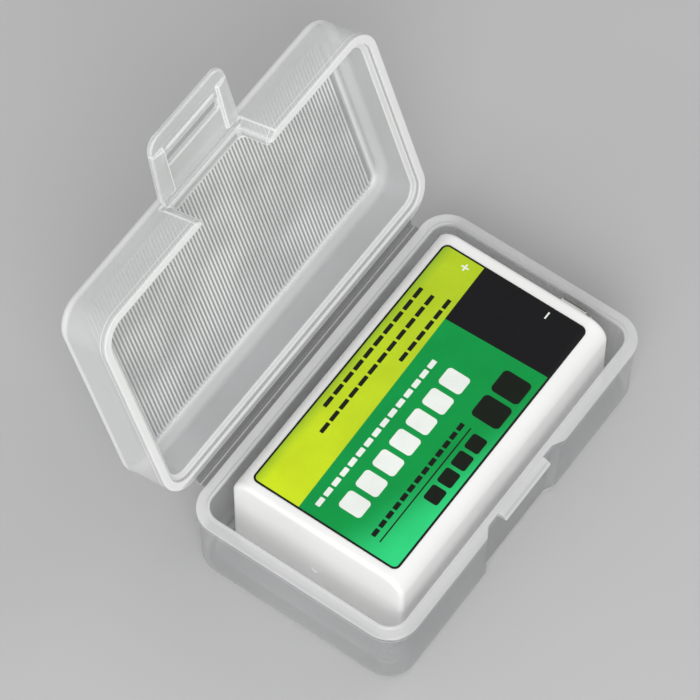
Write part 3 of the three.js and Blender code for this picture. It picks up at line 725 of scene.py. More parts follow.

# %% [markdown]
# ## Where the lid is white
#
# The lid's masks are measured in its own directions, as its shape is: up from the mouth, away from
# the hinge, and across. White are the rim, the ledge inside it, the crown where the walls meet the
# panel, and the edges of the notch. The outside of the walls has painted light: it is whiter towards
# the front and the near end, where the key lamp falls, and not at the far end. A point is outside
# when it lies far enough past the centres of the corners.

# %% Say where the lid is white
LID_UP = (0, math.sin(LID_OPEN), math.cos(LID_OPEN))
LID_AWAY = (0, -math.cos(LID_OPEN), math.sin(LID_OPEN))
HINGE_SIDE, CROWN_RUN = 1.6, (5.9, 7.1)
FRONT_WALL, NOTCH_OUTER, NOTCH_INNER = (31.6, 31.8), (33.6, 33.8), (32.8, 32.6)
LIT_WALL_REACH, LIT_WALL_SHARE = (3.75, 3.95), 0.34
LIT_WALL_FADES_X, LIT_WALL_GROWS_AWAY = (28.2, 25.0), (1.0, 6.0)


def along_lid(finish, spot, direction):
    hinge = HINGE_Y * direction[1] + HINGE_Z * direction[2]
    return finish.math("SUBTRACT", finish.dot(spot, direction), hinge)


# Painted light: the outer faces of the walls turn whiter towards the front and the near end.
def painted_light_outside(finish, x, away):
    past_x = finish.math("SUBTRACT", finish.math("ABSOLUTE", x), flat_x)
    past_away = finish.math("SUBTRACT", away, LATCH_REACH - CORNER)
    past = [finish.math("MAXIMUM", value, 0.0) for value in (past_x, past_away)]
    reach = finish.math("SQRT", finish.math("ADD", *[finish.times(value, value) for value in past]))
    outside = finish.spread(reach, *LIT_WALL_REACH, 0.0, LIT_WALL_SHARE)
    outside = finish.times(outside, finish.spread(x, *LIT_WALL_FADES_X))
    return finish.times(outside, finish.spread(away, *LIT_WALL_GROWS_AWAY, 0.3, 1.0))


def white_notch(finish, far, away, level):
    front = finish.spread(level, NOTCH_TOP + 0.5, NOTCH_TOP + 0.2)
    front = finish.times(front, finish.spread(away, *FRONT_WALL))
    mouth = finish.window(far, NOTCH_MOUTH - 0.16, NOTCH_MOUTH + 0.16)
    mouth = finish.times(mouth, finish.spread(away, *NOTCH_OUTER, 0.0, 0.9))
    inner = finish.window(far, NOTCH_FLOOR - 0.1, NOTCH_FLOOR + 0.35)
    inner = finish.times(inner, finish.spread(away, *NOTCH_INNER, 0.0, 0.8))
    facet = finish.times(finish.window(far, NOTCH_FLOOR, NOTCH_MOUTH), 0.3)
    return finish.times(front, strongest(finish, [mouth, inner, facet]))


def white_in_lid(finish, spot, edges):
    level, away = along_lid(finish, spot, LID_UP), along_lid(finish, spot, LID_AWAY)
    x = finish.axes(spot)[0]
    rim = finish.spread(level, LID_MOUTH + 0.12, LID_MOUTH + 0.04)
    rim = finish.times(rim, finish.spread(away, HINGE_SIDE - 0.3, HINGE_SIDE + 0.3, 0.1, 0.8))
    back = finish.times(finish.spread(level, 1.3, 1.0), finish.spread(away, 0.24, 0.14, 0.0, 0.8))
    ledge = finish.times(finish.window(level, LID_LEDGE - 0.06, LID_LEDGE + 0.14), 0.7)
    crown = finish.spread(level, *CROWN_RUN, 0.0, 0.75)
    crown = finish.times(crown, finish.spread(lean_towards(finish, LID_UP), 0.96, 0.85))
    notch = white_notch(finish, finish.math("ABSOLUTE", x), away, level)
    masks = [finish.times(edges, 0.8), painted_light_outside(finish, x, away), rim, back, ledge, crown, notch]
    return strongest(finish, masks + [rounding_mask(finish, LID_UP, 0.4)])


print("lid's own directions:", np.round([LID_UP, LID_AWAY], 3).tolist())

# %% Give the lid and its ribs their finishes
VALLEY_TONE, CREST_TONE = (0.42, 0.425, 0.43, 1), (0.84, 0.845, 0.85, 1)
VALLEY_COVER, CREST_COVER, VALLEY_WITHIN = 0.44, 0.82, 0.004


def ribbed(name):
    finish = Finish(name)
    spot = places(finish)
    crest = finish.spread(along_lid(finish, spot, LID_UP), LID_ROOF - 0.05, LID_ROOF - 0.2)
    colour = finish.blend(crest, VALLEY_TONE, CREST_TONE)
    return finish.set(
        Base_Color=finish.scale(colour, varied(finish, spot, 9.0, 0.86, 1.1, 1.0)),
        Alpha=finish.spread(crest, 0.0, 1.0, VALLEY_COVER, CREST_COVER, False),
        Roughness=moulded_gloss(finish, spot),
        IOR=PLASTIC_IOR,
    )


def on_valley(face):
    level = (face.center / MM - Vector((0, HINGE_Y, HINGE_Z))).dot(Vector(LID_UP))
    return abs(level - LID_ROOF) < VALLEY_WITHIN


lid.data.materials[0] = frosted("frosted_lid", whiten=white_in_lid)
lid.data.materials[1] = ribbed("ribbed_panel")
for face in lid.data.polygons:
    face.material_index = 1 if face.material_index or on_valley(face) else 0
print("rib faces:", sum(face.material_index for face in lid.data.polygons))

# %% Seat the lid on its body
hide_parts("lid_cover")
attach(lid, "lid")

# %% [markdown]
# ## The two hinges that bend
#
# Both hinges are thin bands of the same plastic. A band is a strip that follows a line of points, at
# a thickness that shrinks where it bends. The lid's band runs round the hinge line at an even
# distance, so the band keeps its length at every angle of the lid.

# %% Bend the lid's hinge
def band(name, half, line, thick):
    line, thick = np.array(line, float), np.array(thick, float)
    run = np.gradient(line, axis=0)
    side = np.stack([-run[:, 1], run[:, 0]], axis=1) / np.linalg.norm(run, axis=1)[:, None]
    loop = np.concatenate([line + side * thick[:, None] / 2, (line - side * thick[:, None] / 2)[::-1]])
    middle = np.concatenate([line, line[::-1]])
    ends = [(-half, 0.55), (-half + 0.05, 0.8), (-half + 0.15, 1.0)]
    ends = ends + [(-x, share) for x, share in ends[::-1]]
    return skin(name, [[(x, *(m + (p - m) * share)) for p, m in zip(loop, middle)] for x, share in ends])


WEB_HALF, WEB_LEVEL, WEB_THICK = 23.75, 12.65, 0.2
BEND_RADIUS, BEND_FROM, BEND_TO, BEND_ROWS = 0.4, -90, -18.09, 13


def hinge_line():
    turn = np.radians(np.linspace(BEND_FROM, BEND_TO, BEND_ROWS))
    bend = [(HINGE_Y + BEND_RADIUS * math.cos(a), HINGE_Z + BEND_RADIUS * math.sin(a)) for a in turn]
    base = [(y, WEB_LEVEL) for y in (16.2, 16.9, 17.2, 17.42, 17.55)]
    leaf = [tuple(lid_place([0, away, BEND_RADIUS])[1:]) for away in (0.1, 0.25, 0.5, 0.8, 1.3)]
    return base + bend[1:] + leaf


hinge_thick = [0.46, 0.46, 0.46, 0.4, 0.28] + [WEB_THICK] * (BEND_ROWS - 1) + [0.22, 0.32, 0.44, 0.46, 0.46]
# The lid's band is dark grey as painted shade for the gap between lid and tray, not as the plastic's own
# colour.
WEB_SHADE_TONE, WEB_COVER, CREASE_Y = (0.2, 0.2, 0.205, 1), 0.45, (17.36, 17.46)


def white_crease(finish, spot, edges):
    line = finish.times(finish.window(finish.axes(spot)[1], *CREASE_Y), 0.75)
    return strongest(finish, [finish.times(edges, 0.6), line])


hinge_web = band("hinge_web", WEB_HALF, hinge_line(), hinge_thick)
hinge_web.data.materials.append(frosted("thin_web_painted_shade", WEB_SHADE_TONE, WEB_COVER, 0.15, white_crease))
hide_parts("hinge_film")
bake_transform(hinge_web)
report(hinge_web)

# %% Bend the latch's hinge
LATCH_WEB_HALF = 7.6


def latch_web_line():
    lid_end = [lid_place([0, away, LATCH_LEVEL])[1:] for away in (33.8, 34.05, 34.22, 34.34)]
    crease = [latch_place([0, 0, 0])[1:]]
    plate = [(0.09, 0.0), (0.22, 0.03), (0.42, 0.12), (0.7, 0.17)]
    return lid_end + crease + [latch_place([0, along, out])[1:] for along, out in plate]


latch_thick = [0.5, 0.42, 0.3, 0.24, 0.22, 0.24, 0.3, 0.42, 0.5]
latch_web = band("latch_web", LATCH_WEB_HALF, latch_web_line(), latch_thick)
latch_web.data.materials.append(frosted("latch_web", wall_cover=0.3, reach_mm=0.2))
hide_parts("latch_film")
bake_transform(latch_web)
report(latch_web)

# %% [markdown]
# ## The latch
#
# The latch is a thin plate with a slot that snaps over the catch. Its inner face carries a ridge
# along each side, with a flat crest and a slope out to the edge, which stiffens it, and a low lip
# beside the slot, which holds the catch. Its tip has round corners for a fingertip. It is drawn as
# two sheets of points over the same plan, one for each face. The rows run along the latch and the
# columns across it, and both crowd together at edges and ridges.

# %% Lay out the latch's plan
LATCH_START, LATCH_LONG, LATCH_ROOT_HALF, LATCH_TIP_HALF, TIP_CORNER = 0.43, 11.6, 8.15, 7.65, 2.5
RIDGE_IN, RIDGE_OUT, RIDGE_FROM, RIDGE_TO = 5.6, 6.2, 0.8, 9.3
LATCH_FACE, LATCH_BACK, RIDGE_RISE = 0.55, -0.2, 0.4
LIP_FROM, LIP_TO, LIP_HALF, LIP_RISE, ROOT_CORNER = 7.5, 8.45, 5.1, 0.22, 0.55


def latch_half(along):
    past = along - LATCH_START
    run = LATCH_LONG - TIP_CORNER - LATCH_START
    full = LATCH_ROOT_HALF + (LATCH_TIP_HALF - LATCH_ROOT_HALF) * past / run
    if along < LATCH_START + ROOT_CORNER:
        full -= ROOT_CORNER * (1 - math.sqrt(1 - (1 - past / ROOT_CORNER) ** 2))
    if along <= LATCH_LONG - TIP_CORNER:
        return full
    share = 1 - math.sqrt(max(0.0, (LATCH_LONG - along) / TIP_CORNER))
    return LATCH_TIP_HALF - TIP_CORNER * share**2


def latch_columns():
    middle = [0, 1.2, 2.4, 3.6, 4.6, 5.0, 5.3, 5.42, 5.46, 5.5, 5.55]
    crest = [5.6, 5.65, 5.75, 5.9, 6.05, 6.13, 6.18, 6.24, 6.32, 6.5]
    edge = [6.9, 7.3, 7.6, 7.8, 7.9, 7.98, 8.05, 8.1, 8.135, 8.15]
    half = middle + crest + edge
    return np.array([-x for x in half[:0:-1]] + half)


def latch_rows():
    root = [0.43, 0.445, 0.48, 0.53, 0.6, 0.7, 0.78, 0.84, 0.9, 0.96, 1.02, 1.1, 1.4, 2.4, 3.6, 4.8]
    slot = [5.0, 5.6, 6.4, 7.1, 7.4, 7.48, 7.56, 7.64, 7.72, 7.98, 8.24, 8.32, 8.4, 8.48, 8.56]
    ridge_end = [8.8, 8.95, 9.05, 9.1, 9.16, 9.22, 9.28, 9.36, 9.5]
    tip = [LATCH_LONG - TIP_CORNER * (1 - share) ** 2 for share in np.linspace(0.06, 1, 18)]
    return np.array(root + slot + ridge_end + tip)


print("latch plan:", len(latch_rows()), "by", len(latch_columns()), "points")

# %% Raise the ridges and round the edges
RIDGE_SIDE, RIDGE_END, LIP_SIDE, LIP_END, EDGE_SOFT = 0.15, 0.3, 0.12, 0.2, 0.26
KNEE, PAST_KNEE = 6.5, 1.65


def ramp(past, run):
    return np.clip(past / run, 0, 1)


def smooth(share):
    return share * share * (3 - 2 * share)


def ridge(x, along):
    far = np.abs(x)
    slope = ramp(LATCH_ROOT_HALF - far, LATCH_ROOT_HALF - RIDGE_OUT)
    rise = np.minimum(ramp(far - RIDGE_IN + RIDGE_SIDE, RIDGE_SIDE), slope)
    ends = ramp(min(along - RIDGE_FROM, RIDGE_TO - along), RIDGE_END)
    inside_lip = min(along - LIP_FROM, LIP_TO - along) + LIP_SIDE
    lip = LIP_RISE * smooth(ramp(inside_lip, 2 * LIP_SIDE)) * ramp(LIP_HALF - far, LIP_END)
    return np.maximum(RIDGE_RISE * rise * smooth(ends), lip)


def latch_sheets():
    columns, face, back = latch_columns(), [], []
    far = np.abs(columns)
    for along in latch_rows():
        half = latch_half(along)
        wide = np.where(far > KNEE, KNEE + (far - KNEE) * (half - KNEE) / PAST_KNEE, far)
        if along > RIDGE_TO + 0.2:
            wide = far * half / LATCH_ROOT_HALF
        x = np.sign(columns) * wide
        edge = np.minimum(np.maximum(half - wide, 0), min(along - LATCH_START, LATCH_LONG - along))
        short = 1 - ramp(edge, EDGE_SOFT)
        soft = EDGE_SOFT * (1 - np.sqrt(np.clip(1 - short**2, 0, 1)))
        face.append(np.stack([x, np.full(len(x), along), LATCH_FACE - soft], axis=1))
        back.append(np.stack([x, np.full(len(x), along), LATCH_BACK - ridge(x, along) + soft], axis=1))
    return np.array(face), np.array(back)


def sheets_to_rings(face, back):
    return [np.concatenate([low, high[::-1]]) for high, low in zip(face, back)]


face, back = latch_sheets()
latch = skin("latch_plate_shell", [latch_place(ring) for ring in sheets_to_rings(face, back)])
report(latch)

# %% Cut the slot and seat the latch
SLOT_FROM, SLOT_TO, SLOT_HALF, SLOT_CORNER = 5.35, 7.2, 5.2, 0.35
LATCH_TONE, LATCH_COVER, LATCH_EDGE_REACH = (0.76, 0.765, 0.77, 1), 0.46, 0.42


def slot_ring(out, grow):
    corner = SLOT_CORNER + grow
    low, high = SLOT_FROM - grow + corner, SLOT_TO + grow - corner
    points = []
    for quarter, (sign_x, middle_s) in enumerate([(1, high), (-1, high), (-1, low), (1, low)]):
        middle_x = sign_x * (SLOT_HALF + grow - corner)
        turns = np.linspace(0, math.pi / 2, 6) + quarter * math.pi / 2
        points += [(middle_x + corner * math.cos(a), middle_s + corner * math.sin(a), out) for a in turns]
    return latch_place(points)


slot_depths = [(-0.9, 0.14), (-0.22, 0.14), (-0.17, 0.07), (-0.1, 0.02), (-0.04, 0)]
slot_depths += [(0.39, 0), (0.45, 0.02), (0.52, 0.07), (0.57, 0.14), (1.2, 0.14)]
latch = combine(latch, [skin("slot", [slot_ring(out, grow) for out, grow in slot_depths])], "DIFFERENCE")
latch.data.materials.append(frosted("frosted_latch", LATCH_TONE, LATCH_COVER, LATCH_EDGE_REACH))
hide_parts("latch_plate")
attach(latch, "latch")
report(latch)

# %% [markdown]
# ## The battery's white shell
#
# The battery is a moulded white box with round long edges and a small rounding at each end. The far
# end is open, and a plate with the two terminals sits just inside its rim. The shell is hollow like
# the real one, because the cells inside are pieces of their own. A small round dimple on the near
# end is where the plastic entered the mould.

# %% Mould the battery's shell
CELL_LOW, CELL_HIGH, CELL_Y, CELL_Z = -23.245, 23.055, -0.42, 9.61
SHELL_HALF, SHELL_ROUND, SHELL_STEPS, SHELL_WALL, SHELL_END = (13.25, 8.75), 3.0, 14, 0.8, 0.7
SHELL_TONES = (0.88, 0.88, 0.87, 1), (0.92, 0.92, 0.91, 1)
DIMPLE = [(0.02, 0.15), (0.45, 0.15), (0.54, 0.12), (0.6, 0.02), (0.66, -0.02), (0.72, -0.4), (0.02, -0.4)]


def block_ring(x, inset):
    half_y, half_z, corner = SHELL_HALF[0] - inset, SHELL_HALF[1] - inset, SHELL_ROUND - inset
    ring = []
    for quarter, (sign_y, sign_z) in enumerate([(1, 1), (-1, 1), (-1, -1), (1, -1)]):
        middle_y, middle_z = CELL_Y + sign_y * (half_y - corner), CELL_Z + sign_z * (half_z - corner)
        turns = np.linspace(0, math.pi / 2, SHELL_STEPS + 1) + quarter * math.pi / 2
        ring += [(x, middle_y + corner * math.cos(a), middle_z + corner * math.sin(a)) for a in turns]
    return ring


def shell_profile():
    near = [(SHELL_END + 0.9, CELL_LOW)]
    near += rounding((SHELL_END, CELL_LOW), (0.0, CELL_LOW + SHELL_END), True, 8)
    far = rounding((0.0, CELL_HIGH - SHELL_END), (SHELL_END, CELL_HIGH), False, 8)
    near, far = ([(x, inset) for inset, x in rows] for rows in (near, far))
    body = [(x, 0.0) for x in (CELL_LOW + 1.1, -12.0, 0.0, 12.0, CELL_HIGH - 1.1)]
    rim = [(CELL_HIGH - 0.02, 0.77), (CELL_HIGH - 0.08, SHELL_WALL)]
    return near + body + far + rim + [(CELL_HIGH - 0.3, SHELL_WALL), (CELL_LOW + SHELL_WALL, SHELL_WALL)]


def white_shell():
    finish = Finish("white_shell")
    spot = places(finish)
    return finish.set(
        Base_Color=finish.blend(varied(finish, spot, 14.0), *SHELL_TONES),
        Roughness=moulded_gloss(finish, spot, 9.0),
        Specular_IOR_Level=0.5,
    )


def turned(name, profile, place, count=48, reach=None):
    x, y, z = place
    turns = np.linspace(0, 2 * math.pi, count, endpoint=False)
    rings = []
    for radius, far in profile:
        reaches = [radius if reach is None else reach(radius, a) for a in turns]
        rings.append([(x + far, y + r * math.cos(a), z + r * math.sin(a)) for r, a in zip(reaches, turns)])
    return skin(name, rings)


shell = skin("battery_shell", [block_ring(x, inset) for x, inset in shell_profile()])
shell = combine(shell, [turned("dimple", DIMPLE, (CELL_LOW, CELL_Y + 0.2, CELL_Z - 1.6), 36)], "DIFFERENCE")
shell.data.materials.append(white_shell())
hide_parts("battery_jacket")
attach(shell, "base")
report(shell)

# %% [markdown]
# ## The printed label
#
# A thin printed film covers the battery's top and turns a little way over both long edges. Its
# colours are three fields: yellow green along the back, green in front, and a black block at the
# terminal end. Painted shade turns the yellow green olive along the back edge, and a painted sheen
# lightens the green along the front edge and towards the near end. What a maker would print there
# is left bare or has plain marks: rows of small dashes, a row of seven white lozenges for the seven
# cells, a few plain black blocks, one thin line, and the plus and minus that say which terminal is
# which.

# %% Lay the film on the battery
LABEL_X, LABEL_HALF, LABEL_FLAT, LABEL_WRAP, LABEL_ROUND = -0.32, 21.43, 10.25, 1.0, 0.95
LABEL_SIDE = LABEL_FLAT + SHELL_ROUND * math.sin(LABEL_WRAP / SHELL_ROUND)
LABEL_TOP = CELL_Z + SHELL_HALF[1]
FILM_UPPER, FILM_LOWER = 0.115, 0.012


def label_rows():
    reach = LABEL_FLAT + LABEL_WRAP
    edge = reach - LABEL_ROUND * (1 - np.cos(np.linspace(0, math.pi / 2, 10)))
    middle = np.linspace(9.6, -9.6, 9)
    return np.concatenate([edge, middle, -edge[::-1]])


def label_sheet(lift):
    along = np.concatenate([[-1, -0.999, -0.995], np.linspace(-0.98, 0.98, 21), [0.995, 0.999, 1]])
    sheet = []
    for run in label_rows():
        down = max(0.0, LABEL_ROUND - (LABEL_FLAT + LABEL_WRAP - abs(run)))
        half = LABEL_HALF - LABEL_ROUND + math.sqrt(LABEL_ROUND**2 - down**2)
        turn = max(0.0, abs(run) - LABEL_FLAT) / SHELL_ROUND
        y = math.copysign(min(abs(run), LABEL_FLAT) + (SHELL_ROUND + lift) * math.sin(turn), run)
        z = LABEL_TOP - SHELL_ROUND + (SHELL_ROUND + lift) * math.cos(turn)
        sheet.append([(LABEL_X + half * t, CELL_Y + y, z) for t in along])
    return np.array(sheet)


label = skin("label_film", sheets_to_rings(label_sheet(FILM_UPPER), label_sheet(FILM_LOWER)))
report(label)

# %% [markdown]
# ## Printing with distances
#
# Each printed shape is a distance that is compared with zero. For a box with round corners, that is
# the distance to an inner box without its corners, less the corner's radius, and the smooth step at
# its edge is a few hundredths of a millimetre wide, as sharp as print is. Repeated shapes come from
# the remainder of a division, so seven lozenges cost no more nodes than one.

# %% Helpers for printed shapes
INK_EDGE = 0.035


def srgb(*levels):
    shares = [level / 255 for level in levels]
    linear = [share / 12.92 if share <= 0.04 else ((share + 0.055) / 1.055) ** 2.4 for share in shares]
    return (*linear, 1)


def inside(finish, value, middle, half):
    away = finish.math("ABSOLUTE", finish.math("SUBTRACT", value, middle))
    return finish.spread(away, half + INK_EDGE, half - INK_EDGE)


def bar(finish, x, y, middle, half):
    return finish.times(inside(finish, x, middle[0], half[0]), inside(finish, y, middle[1], half[1]))


def depth_in_box(finish, x, y, middle, half, corner):
    past = []
    for value, centre, reach in zip((x, y), middle, half):
        away = finish.math("ABSOLUTE", finish.math("SUBTRACT", value, centre))
        past.append(finish.math("SUBTRACT", away, reach - corner))
    outer = [finish.math("MAXIMUM", value, 0.0) for value in past]
    outside = finish.math("SQRT", finish.math("ADD", *[finish.times(value, value) for value in outer]))
    flat = finish.math("MINIMUM", finish.math("MAXIMUM", *past), 0.0)
    return finish.math("SUBTRACT", corner, finish.math("ADD", outside, flat))


def lozenge(finish, x, y, middle, half, corner):
    return finish.spread(depth_in_box(finish, x, y, middle, half, corner), -INK_EDGE, INK_EDGE)


print("yellow green as linear:", [round(value, 3) for value in srgb(206, 229, 28)])

# %% Print the fields of colour
LABEL_BORDER, LABEL_START = 0.26, 21.28
FIELD_LINE, FIELD_SLANT, BLOCK_FROM, BLOCK_SLANT = 3.55, 0.02206, 11.83, 0.034
LIME_NEAR, LIME_FAR, LIME_PAINTED_SHADE = srgb(206, 229, 28), srgb(182, 208, 34), srgb(122, 172, 48)
GREEN_PAINTED_SHEEN, GREEN_DEEP = srgb(46, 214, 128), srgb(0, 152, 68)
BLOCK_INK, BORDER_INK = srgb(15, 15, 18), srgb(12, 18, 14)
PLUS_PLACE, MINUS_PLACE, SIGN_HALF = (19.48, 6.55), (19.73, -6.16), (0.56, 0.11)


def fields(finish, x, y):
    slant = finish.times(finish.math("ADD", x, LABEL_START), FIELD_SLANT)
    above = finish.math("SUBTRACT", finish.math("SUBTRACT", y, FIELD_LINE), slant)
    lime = finish.blend(finish.spread(x, -20.0, 14.0, smooth=False), LIME_NEAR, LIME_FAR)
    # Painted shade: the yellow green turns olive near the back edge, where the film rounds away from the
    # light.
    lime = finish.blend(finish.spread(y, 8.8, 11.0, 0.0, 0.6), lime, LIME_PAINTED_SHADE)
    # Painted sheen: the green turns lighter along the front edge and towards the near end.
    lean = finish.math("ADD", finish.times(x, 0.3), y)
    green = finish.blend(finish.spread(lean, -16.5, -8.0), GREEN_PAINTED_SHEEN, GREEN_DEEP)
    block = finish.math("ADD", x, finish.times(y, BLOCK_SLANT))
    low = finish.blend(finish.spread(block, BLOCK_FROM - INK_EDGE, BLOCK_FROM + INK_EDGE), green, BLOCK_INK)
    colour = finish.blend(finish.spread(above, -INK_EDGE, INK_EDGE), low, lime)
    deep = depth_in_box(finish, x, y, (LABEL_X, CELL_Y), (LABEL_HALF, LABEL_SIDE), LABEL_ROUND)
    border = finish.spread(deep, LABEL_BORDER + INK_EDGE, LABEL_BORDER - INK_EDGE)
    return finish.blend(border, colour, BORDER_INK)


def signs(finish, x, y):
    bars = [(PLUS_PLACE, SIGN_HALF), (PLUS_PLACE, SIGN_HALF[::-1]), (MINUS_PLACE, SIGN_HALF)]
    return strongest(finish, [bar(finish, x, y, place, half) for place, half in bars])


print("fields and signs ready")

# %% Print rows of blocks and dashes
DARK_INK, PALE_INK = srgb(14, 22, 12), srgb(240, 244, 238)
THIN_LINE = (-9.6, -7.65), (10.0, 0.1)


def block_row(finish, x, y, start, step, count, level, half, corner):
    order = finish.math("DIVIDE", finish.math("SUBTRACT", x, start), step)
    across = finish.times(finish.math("FRACT", order), step)
    shape = lozenge(finish, across, y, (step / 2, level), half, corner)
    return finish.times(shape, inside(finish, x, start + step * count / 2, step * count / 2))


# Each row has its start, step, count and level, then a block's half sizes and its corner.
DARK_ROWS = [(3.0, 1.92, 6, 5.35, (0.78, 0.3), 0.12),
             (-11.4, 2.1, 12, 7.5, (0.86, 0.3), 0.12),
             (-8.1, 2.2, 10, 9.35, (0.9, 0.3), 0.12),
             (1.7, 4.4, 2, -8.45, (1.85, 2.15), 0.7),
             (-11.6, 3.0, 4, -9.45, (1.22, 1.1), 0.4),
             (-19.6, 1.55, 13, -6.45, (0.6, 0.34), 0.12)]
PALE_ROWS = [(-18.9, 3.65, 7, -2.0, (1.4, 1.72), 0.55),
             (-20.2, 1.75, 15, 1.75, (0.68, 0.36), 0.14)]


def marks(finish, x, y, rows, other):
    return strongest(finish, [block_row(finish, x, y, *row) for row in rows] + [other])


print("dark rows:", len(DARK_ROWS), "pale rows:", len(PALE_ROWS))


# %% Finish the label
def printed_label():
    finish = Finish("printed_label")
    spot = places(finish)
    x, y = finish.axes(spot)[:2]
    dark = marks(finish, x, y, DARK_ROWS, bar(finish, x, y, *THIN_LINE))
    pale = marks(finish, x, y, PALE_ROWS, signs(finish, x, y))
    colour = finish.blend(dark, fields(finish, x, y), DARK_INK)
    wear = finish.spread(clouds(finish, spot, 5.0, 5.0), 0.25, 0.75, 0.93, 1.04)
    return finish.set(
        Base_Color=finish.scale(finish.blend(pale, colour, PALE_INK), wear),
        Roughness=varied(finish, spot, 3.0, 0.26, 0.38),
        Specular_IOR_Level=0.22,
        Normal=grain(finish, spot, 1.2, 0.01, 0.25),
    )


label.data.materials.append(printed_label())
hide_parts("battery_label")
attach(label, "base")
print("label nodes:", len(bpy.data.materials["printed_label"].node_tree.nodes))

# %% [markdown]
# ## The snap terminals
#
# A battery of this kind has a round stud and a six sided cup, twelve point seven millimetres apart.
# Both are pressed from sheet and plated. Each is a profile spun round its own axis, with every bend
# of the sheet drawn as a small rounding. For the cup the wall's radius also grows towards six
# corners, and a slit at each corner leaves six flat petals that can spring. One flat is uppermost,
# because its straight edge just shows beyond the battery's far end in the photograph.

# %% Spin the terminals
CAP_FACE, TERMINAL_REACH, PETAL_HALF = 22.755, 6.35, 1.8
# The cup's uppermost petal gets a near-black band at its lip: painted shade for the shadowed gap behind it.
CUP_LONGER, CUP_SHADE_FROM, CUP_PAINTED_SHADE = 0.42, 2.72, (0.03, 0.03, 0.03, 1)


def plated(name, tone, rough=0.24, shade_from=None):
    finish = Finish(name)
    spot = places(finish)
    duller = tuple(value * 0.88 for value in tone[:3]) + (1,)
    colour = finish.blend(varied(finish, spot, 2.4), tone, duller)
    # Painted shade: a near-black band on the uppermost petal's lip, kept off the petals beside it.
    if shade_from is not None:
        x, y = finish.axes(spot)[:2]
        middle = CELL_Y - TERMINAL_REACH
        petal = finish.window(y, middle - PETAL_HALF, middle + PETAL_HALF, 0.1)
        dark = finish.times(finish.spread(x, shade_from - 0.04, shade_from + 0.04, 0.0, 0.85), petal)
        colour = finish.blend(dark, colour, CUP_PAINTED_SHADE)
    return finish.set(
        Base_Color=colour,
        Metallic=1.0,
        Roughness=varied(finish, spot, 1.6, rough - 0.04, rough + 0.06),
        Normal=grain(finish, spot, 1.4, 0.004, 0.15),
    )


plating = plated("plated_contact", (0.80, 0.79, 0.76, 1))
cup_plating_with_shade = plated("plated_cup_painted_shade", (0.84, 0.83, 0.80, 1), shade_from=CAP_FACE + CUP_SHADE_FROM)
stud_foot = [(0.02, 0.4), (1.1, 0.4), (1.1, 0.02), (3.5, 0.0), (3.57, 0.03), (3.6, 0.1), (3.6, 0.3)]
stud_neck = [(3.57, 0.37), (3.5, 0.4), (2.62, 0.4), (2.5, 0.45), (2.45, 0.56), (2.45, 1.2), (2.47, 1.45)]
stud_head = [(2.6, 1.75), (2.78, 1.98), (2.85, 2.13), (2.84, 2.25), (2.76, 2.38), (2.6, 2.48), (2.4, 2.54),
             (2.1, 2.55), (0.02, 2.55)]
stud_place = (CAP_FACE, CELL_Y + TERMINAL_REACH, CELL_Z)
stud = turned("snap_stud", stud_foot + stud_neck + stud_head, stud_place)
print("stud and plating ready, stud at", [round(value, 2) for value in stud_place])

# %% Fold the cup
cup_foot = [(1.1, 0.4), (1.1, 0.02), (3.9, 0.0), (4.0, 0.04), (4.05, 0.15)]
cup_lip = [(4.05, 2.3), (4.02, 2.44), (3.94, 2.52), (3.82, 2.55), (3.3, 2.55), (3.18, 2.52), (3.12, 2.44),
           (3.1, 2.34), (3.12, 2.2), (3.25, 2.08), (3.5, 1.85), (3.62, 1.7), (3.65, 1.5)]
cup_lip = [(radius, far + CUP_LONGER) for radius, far in cup_lip]
cup_inside = [(3.65, 0.6), (3.6, 0.45), (3.5, 0.4), (1.12, 0.4)]
cup_place = (CAP_FACE, CELL_Y - TERMINAL_REACH, CELL_Z)
FLAT_FROM, FLAT_RUN, CORNER_LIMIT = 1.2, 1.8, 1.115
SLIT_HALF_LONG, SLIT_HALF_WIDE, SLIT_FROM, SLIT_TO = 5.2, 0.35, 0.9, 3.6


def six_sided(radius, a):
    from_flat = (a % (math.pi / 3)) - math.pi / 6
    corner = min(1 / math.cos(from_flat), CORNER_LIMIT)
    share = min(max((radius - FLAT_FROM) / FLAT_RUN, 0), 1)
    return radius * (1 + (corner - 1) * share)


def slit(angle):
    turn = np.array([[math.cos(angle), -math.sin(angle)], [math.sin(angle), math.cos(angle)]])
    corners = np.array([(-1, -1), (1, -1), (1, 1), (-1, 1)]) * (SLIT_HALF_LONG, SLIT_HALF_WIDE)
    corners = corners @ turn.T + cup_place[1:]
    return skin("slit", [[(CAP_FACE + far, y, z) for y, z in corners] for far in (SLIT_FROM, SLIT_TO)])


cup = turned("snap_cup", cup_foot + cup_lip + cup_inside, cup_place, 96, six_sided)
cup = combine(cup, [slit(math.radians(angle)) for angle in (0, 60, 120)], "DIFFERENCE")
for piece, node, made in ((stud, "terminal_stud", plating), (cup, "terminal_socket", cup_plating_with_shade)):
    piece.data.materials.append(made)
    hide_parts(node)
    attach(piece, "base")
    report(piece)

# %% [markdown]
# ## The pieces inside
#
# The plate that holds the terminals, the board behind it, the rivets, the cells, their links and
# leads and the paper pads keep the shapes they have in the packed model. They only get finishes:
# moulded white, a dull dark board, bright nickel strip, drawn steel cans and fibrous paper.

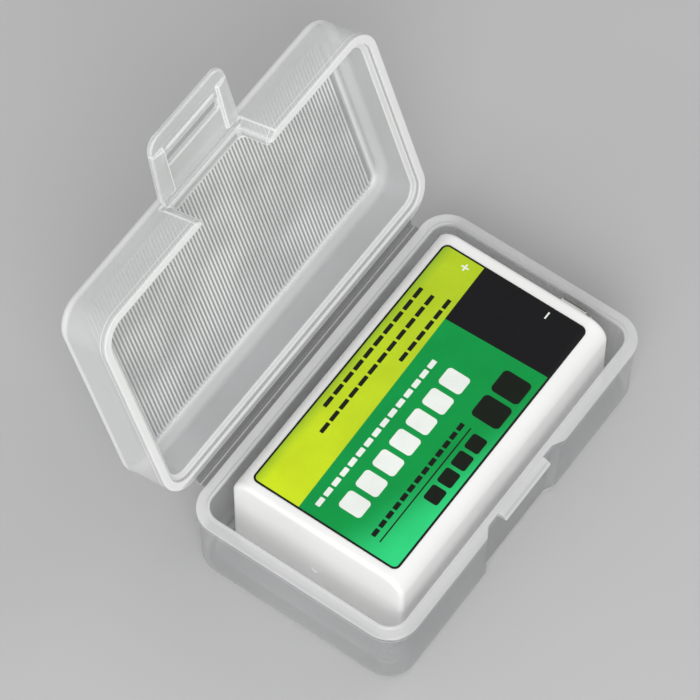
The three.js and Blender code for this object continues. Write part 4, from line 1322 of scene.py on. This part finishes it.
# %% Finish the inner pieces
def dull(name, tone, other, size_mm, rough, bump_mm):
    finish = Finish(name)
    spot = places(finish)
    return finish.set(
        Base_Color=finish.blend(varied(finish, spot, size_mm, detail=6.0, rough=0.6), tone, other),
        Roughness=varied(finish, spot, size_mm / 3, rough - 0.08, rough + 0.08),
        Normal=grain(finish, spot, size_mm / 4, bump_mm, 0.5),
    )


inner_finishes = {
    "battery_end_cap": bpy.data.materials["white_shell"],
    "terminal_board": dull("dark_board", srgb(38, 34, 30), srgb(24, 22, 20), 2.0, 0.6, 0.02),
    "pad_": dull("fibre_paper", srgb(214, 200, 160), srgb(190, 174, 132), 1.2, 0.85, 0.04),
    "rivet_": plated("nickel_strip", (0.76, 0.74, 0.69, 1), 0.3),
    "lead_": bpy.data.materials["nickel_strip"],
    "cell_link": bpy.data.materials["nickel_strip"],
    "cell_": plated("cell_can", (0.66, 0.67, 0.68, 1), 0.36),
}


def finish_for(node):
    return next((made for start, made in inner_finishes.items() if node.startswith(start)), None)


for node_name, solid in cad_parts.items():
    made = finish_for(node_name)
    if made is not None:
        for place in solid.material_slots:
            place.material = made
print("inner pieces finished:", sum(finish_for(name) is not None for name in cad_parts))

# %% [markdown]
# ## The floor
#
# The floor is a plain pale sheet, much wider than the object, so that it fills the picture and takes
# the soft shadow. A trace of noise in its colour keeps it from looking like a painted number.

# %% Lay the floor
FLOOR_HALF, FLOOR_LEVEL = 1500, -0.02


def floor_finish():
    finish = Finish("floor")
    tint = tuple(value * 0.985 for value in FLOOR_SHADE[:3]) + (1,)
    colour = finish.blend(varied(finish, places(finish), 40.0), FLOOR_SHADE, tint)
    return finish.set(Base_Color=colour, Roughness=0.9)


floor_corners = [(-1, -1), (1, -1), (1, 1), (-1, 1)]
floor_points = [(x * FLOOR_HALF, y * FLOOR_HALF, FLOOR_LEVEL) for x, y in floor_corners]
floor = to_object("floor", floor_points, [(0, 1, 2, 3)])
floor.data.materials.append(floor_finish())
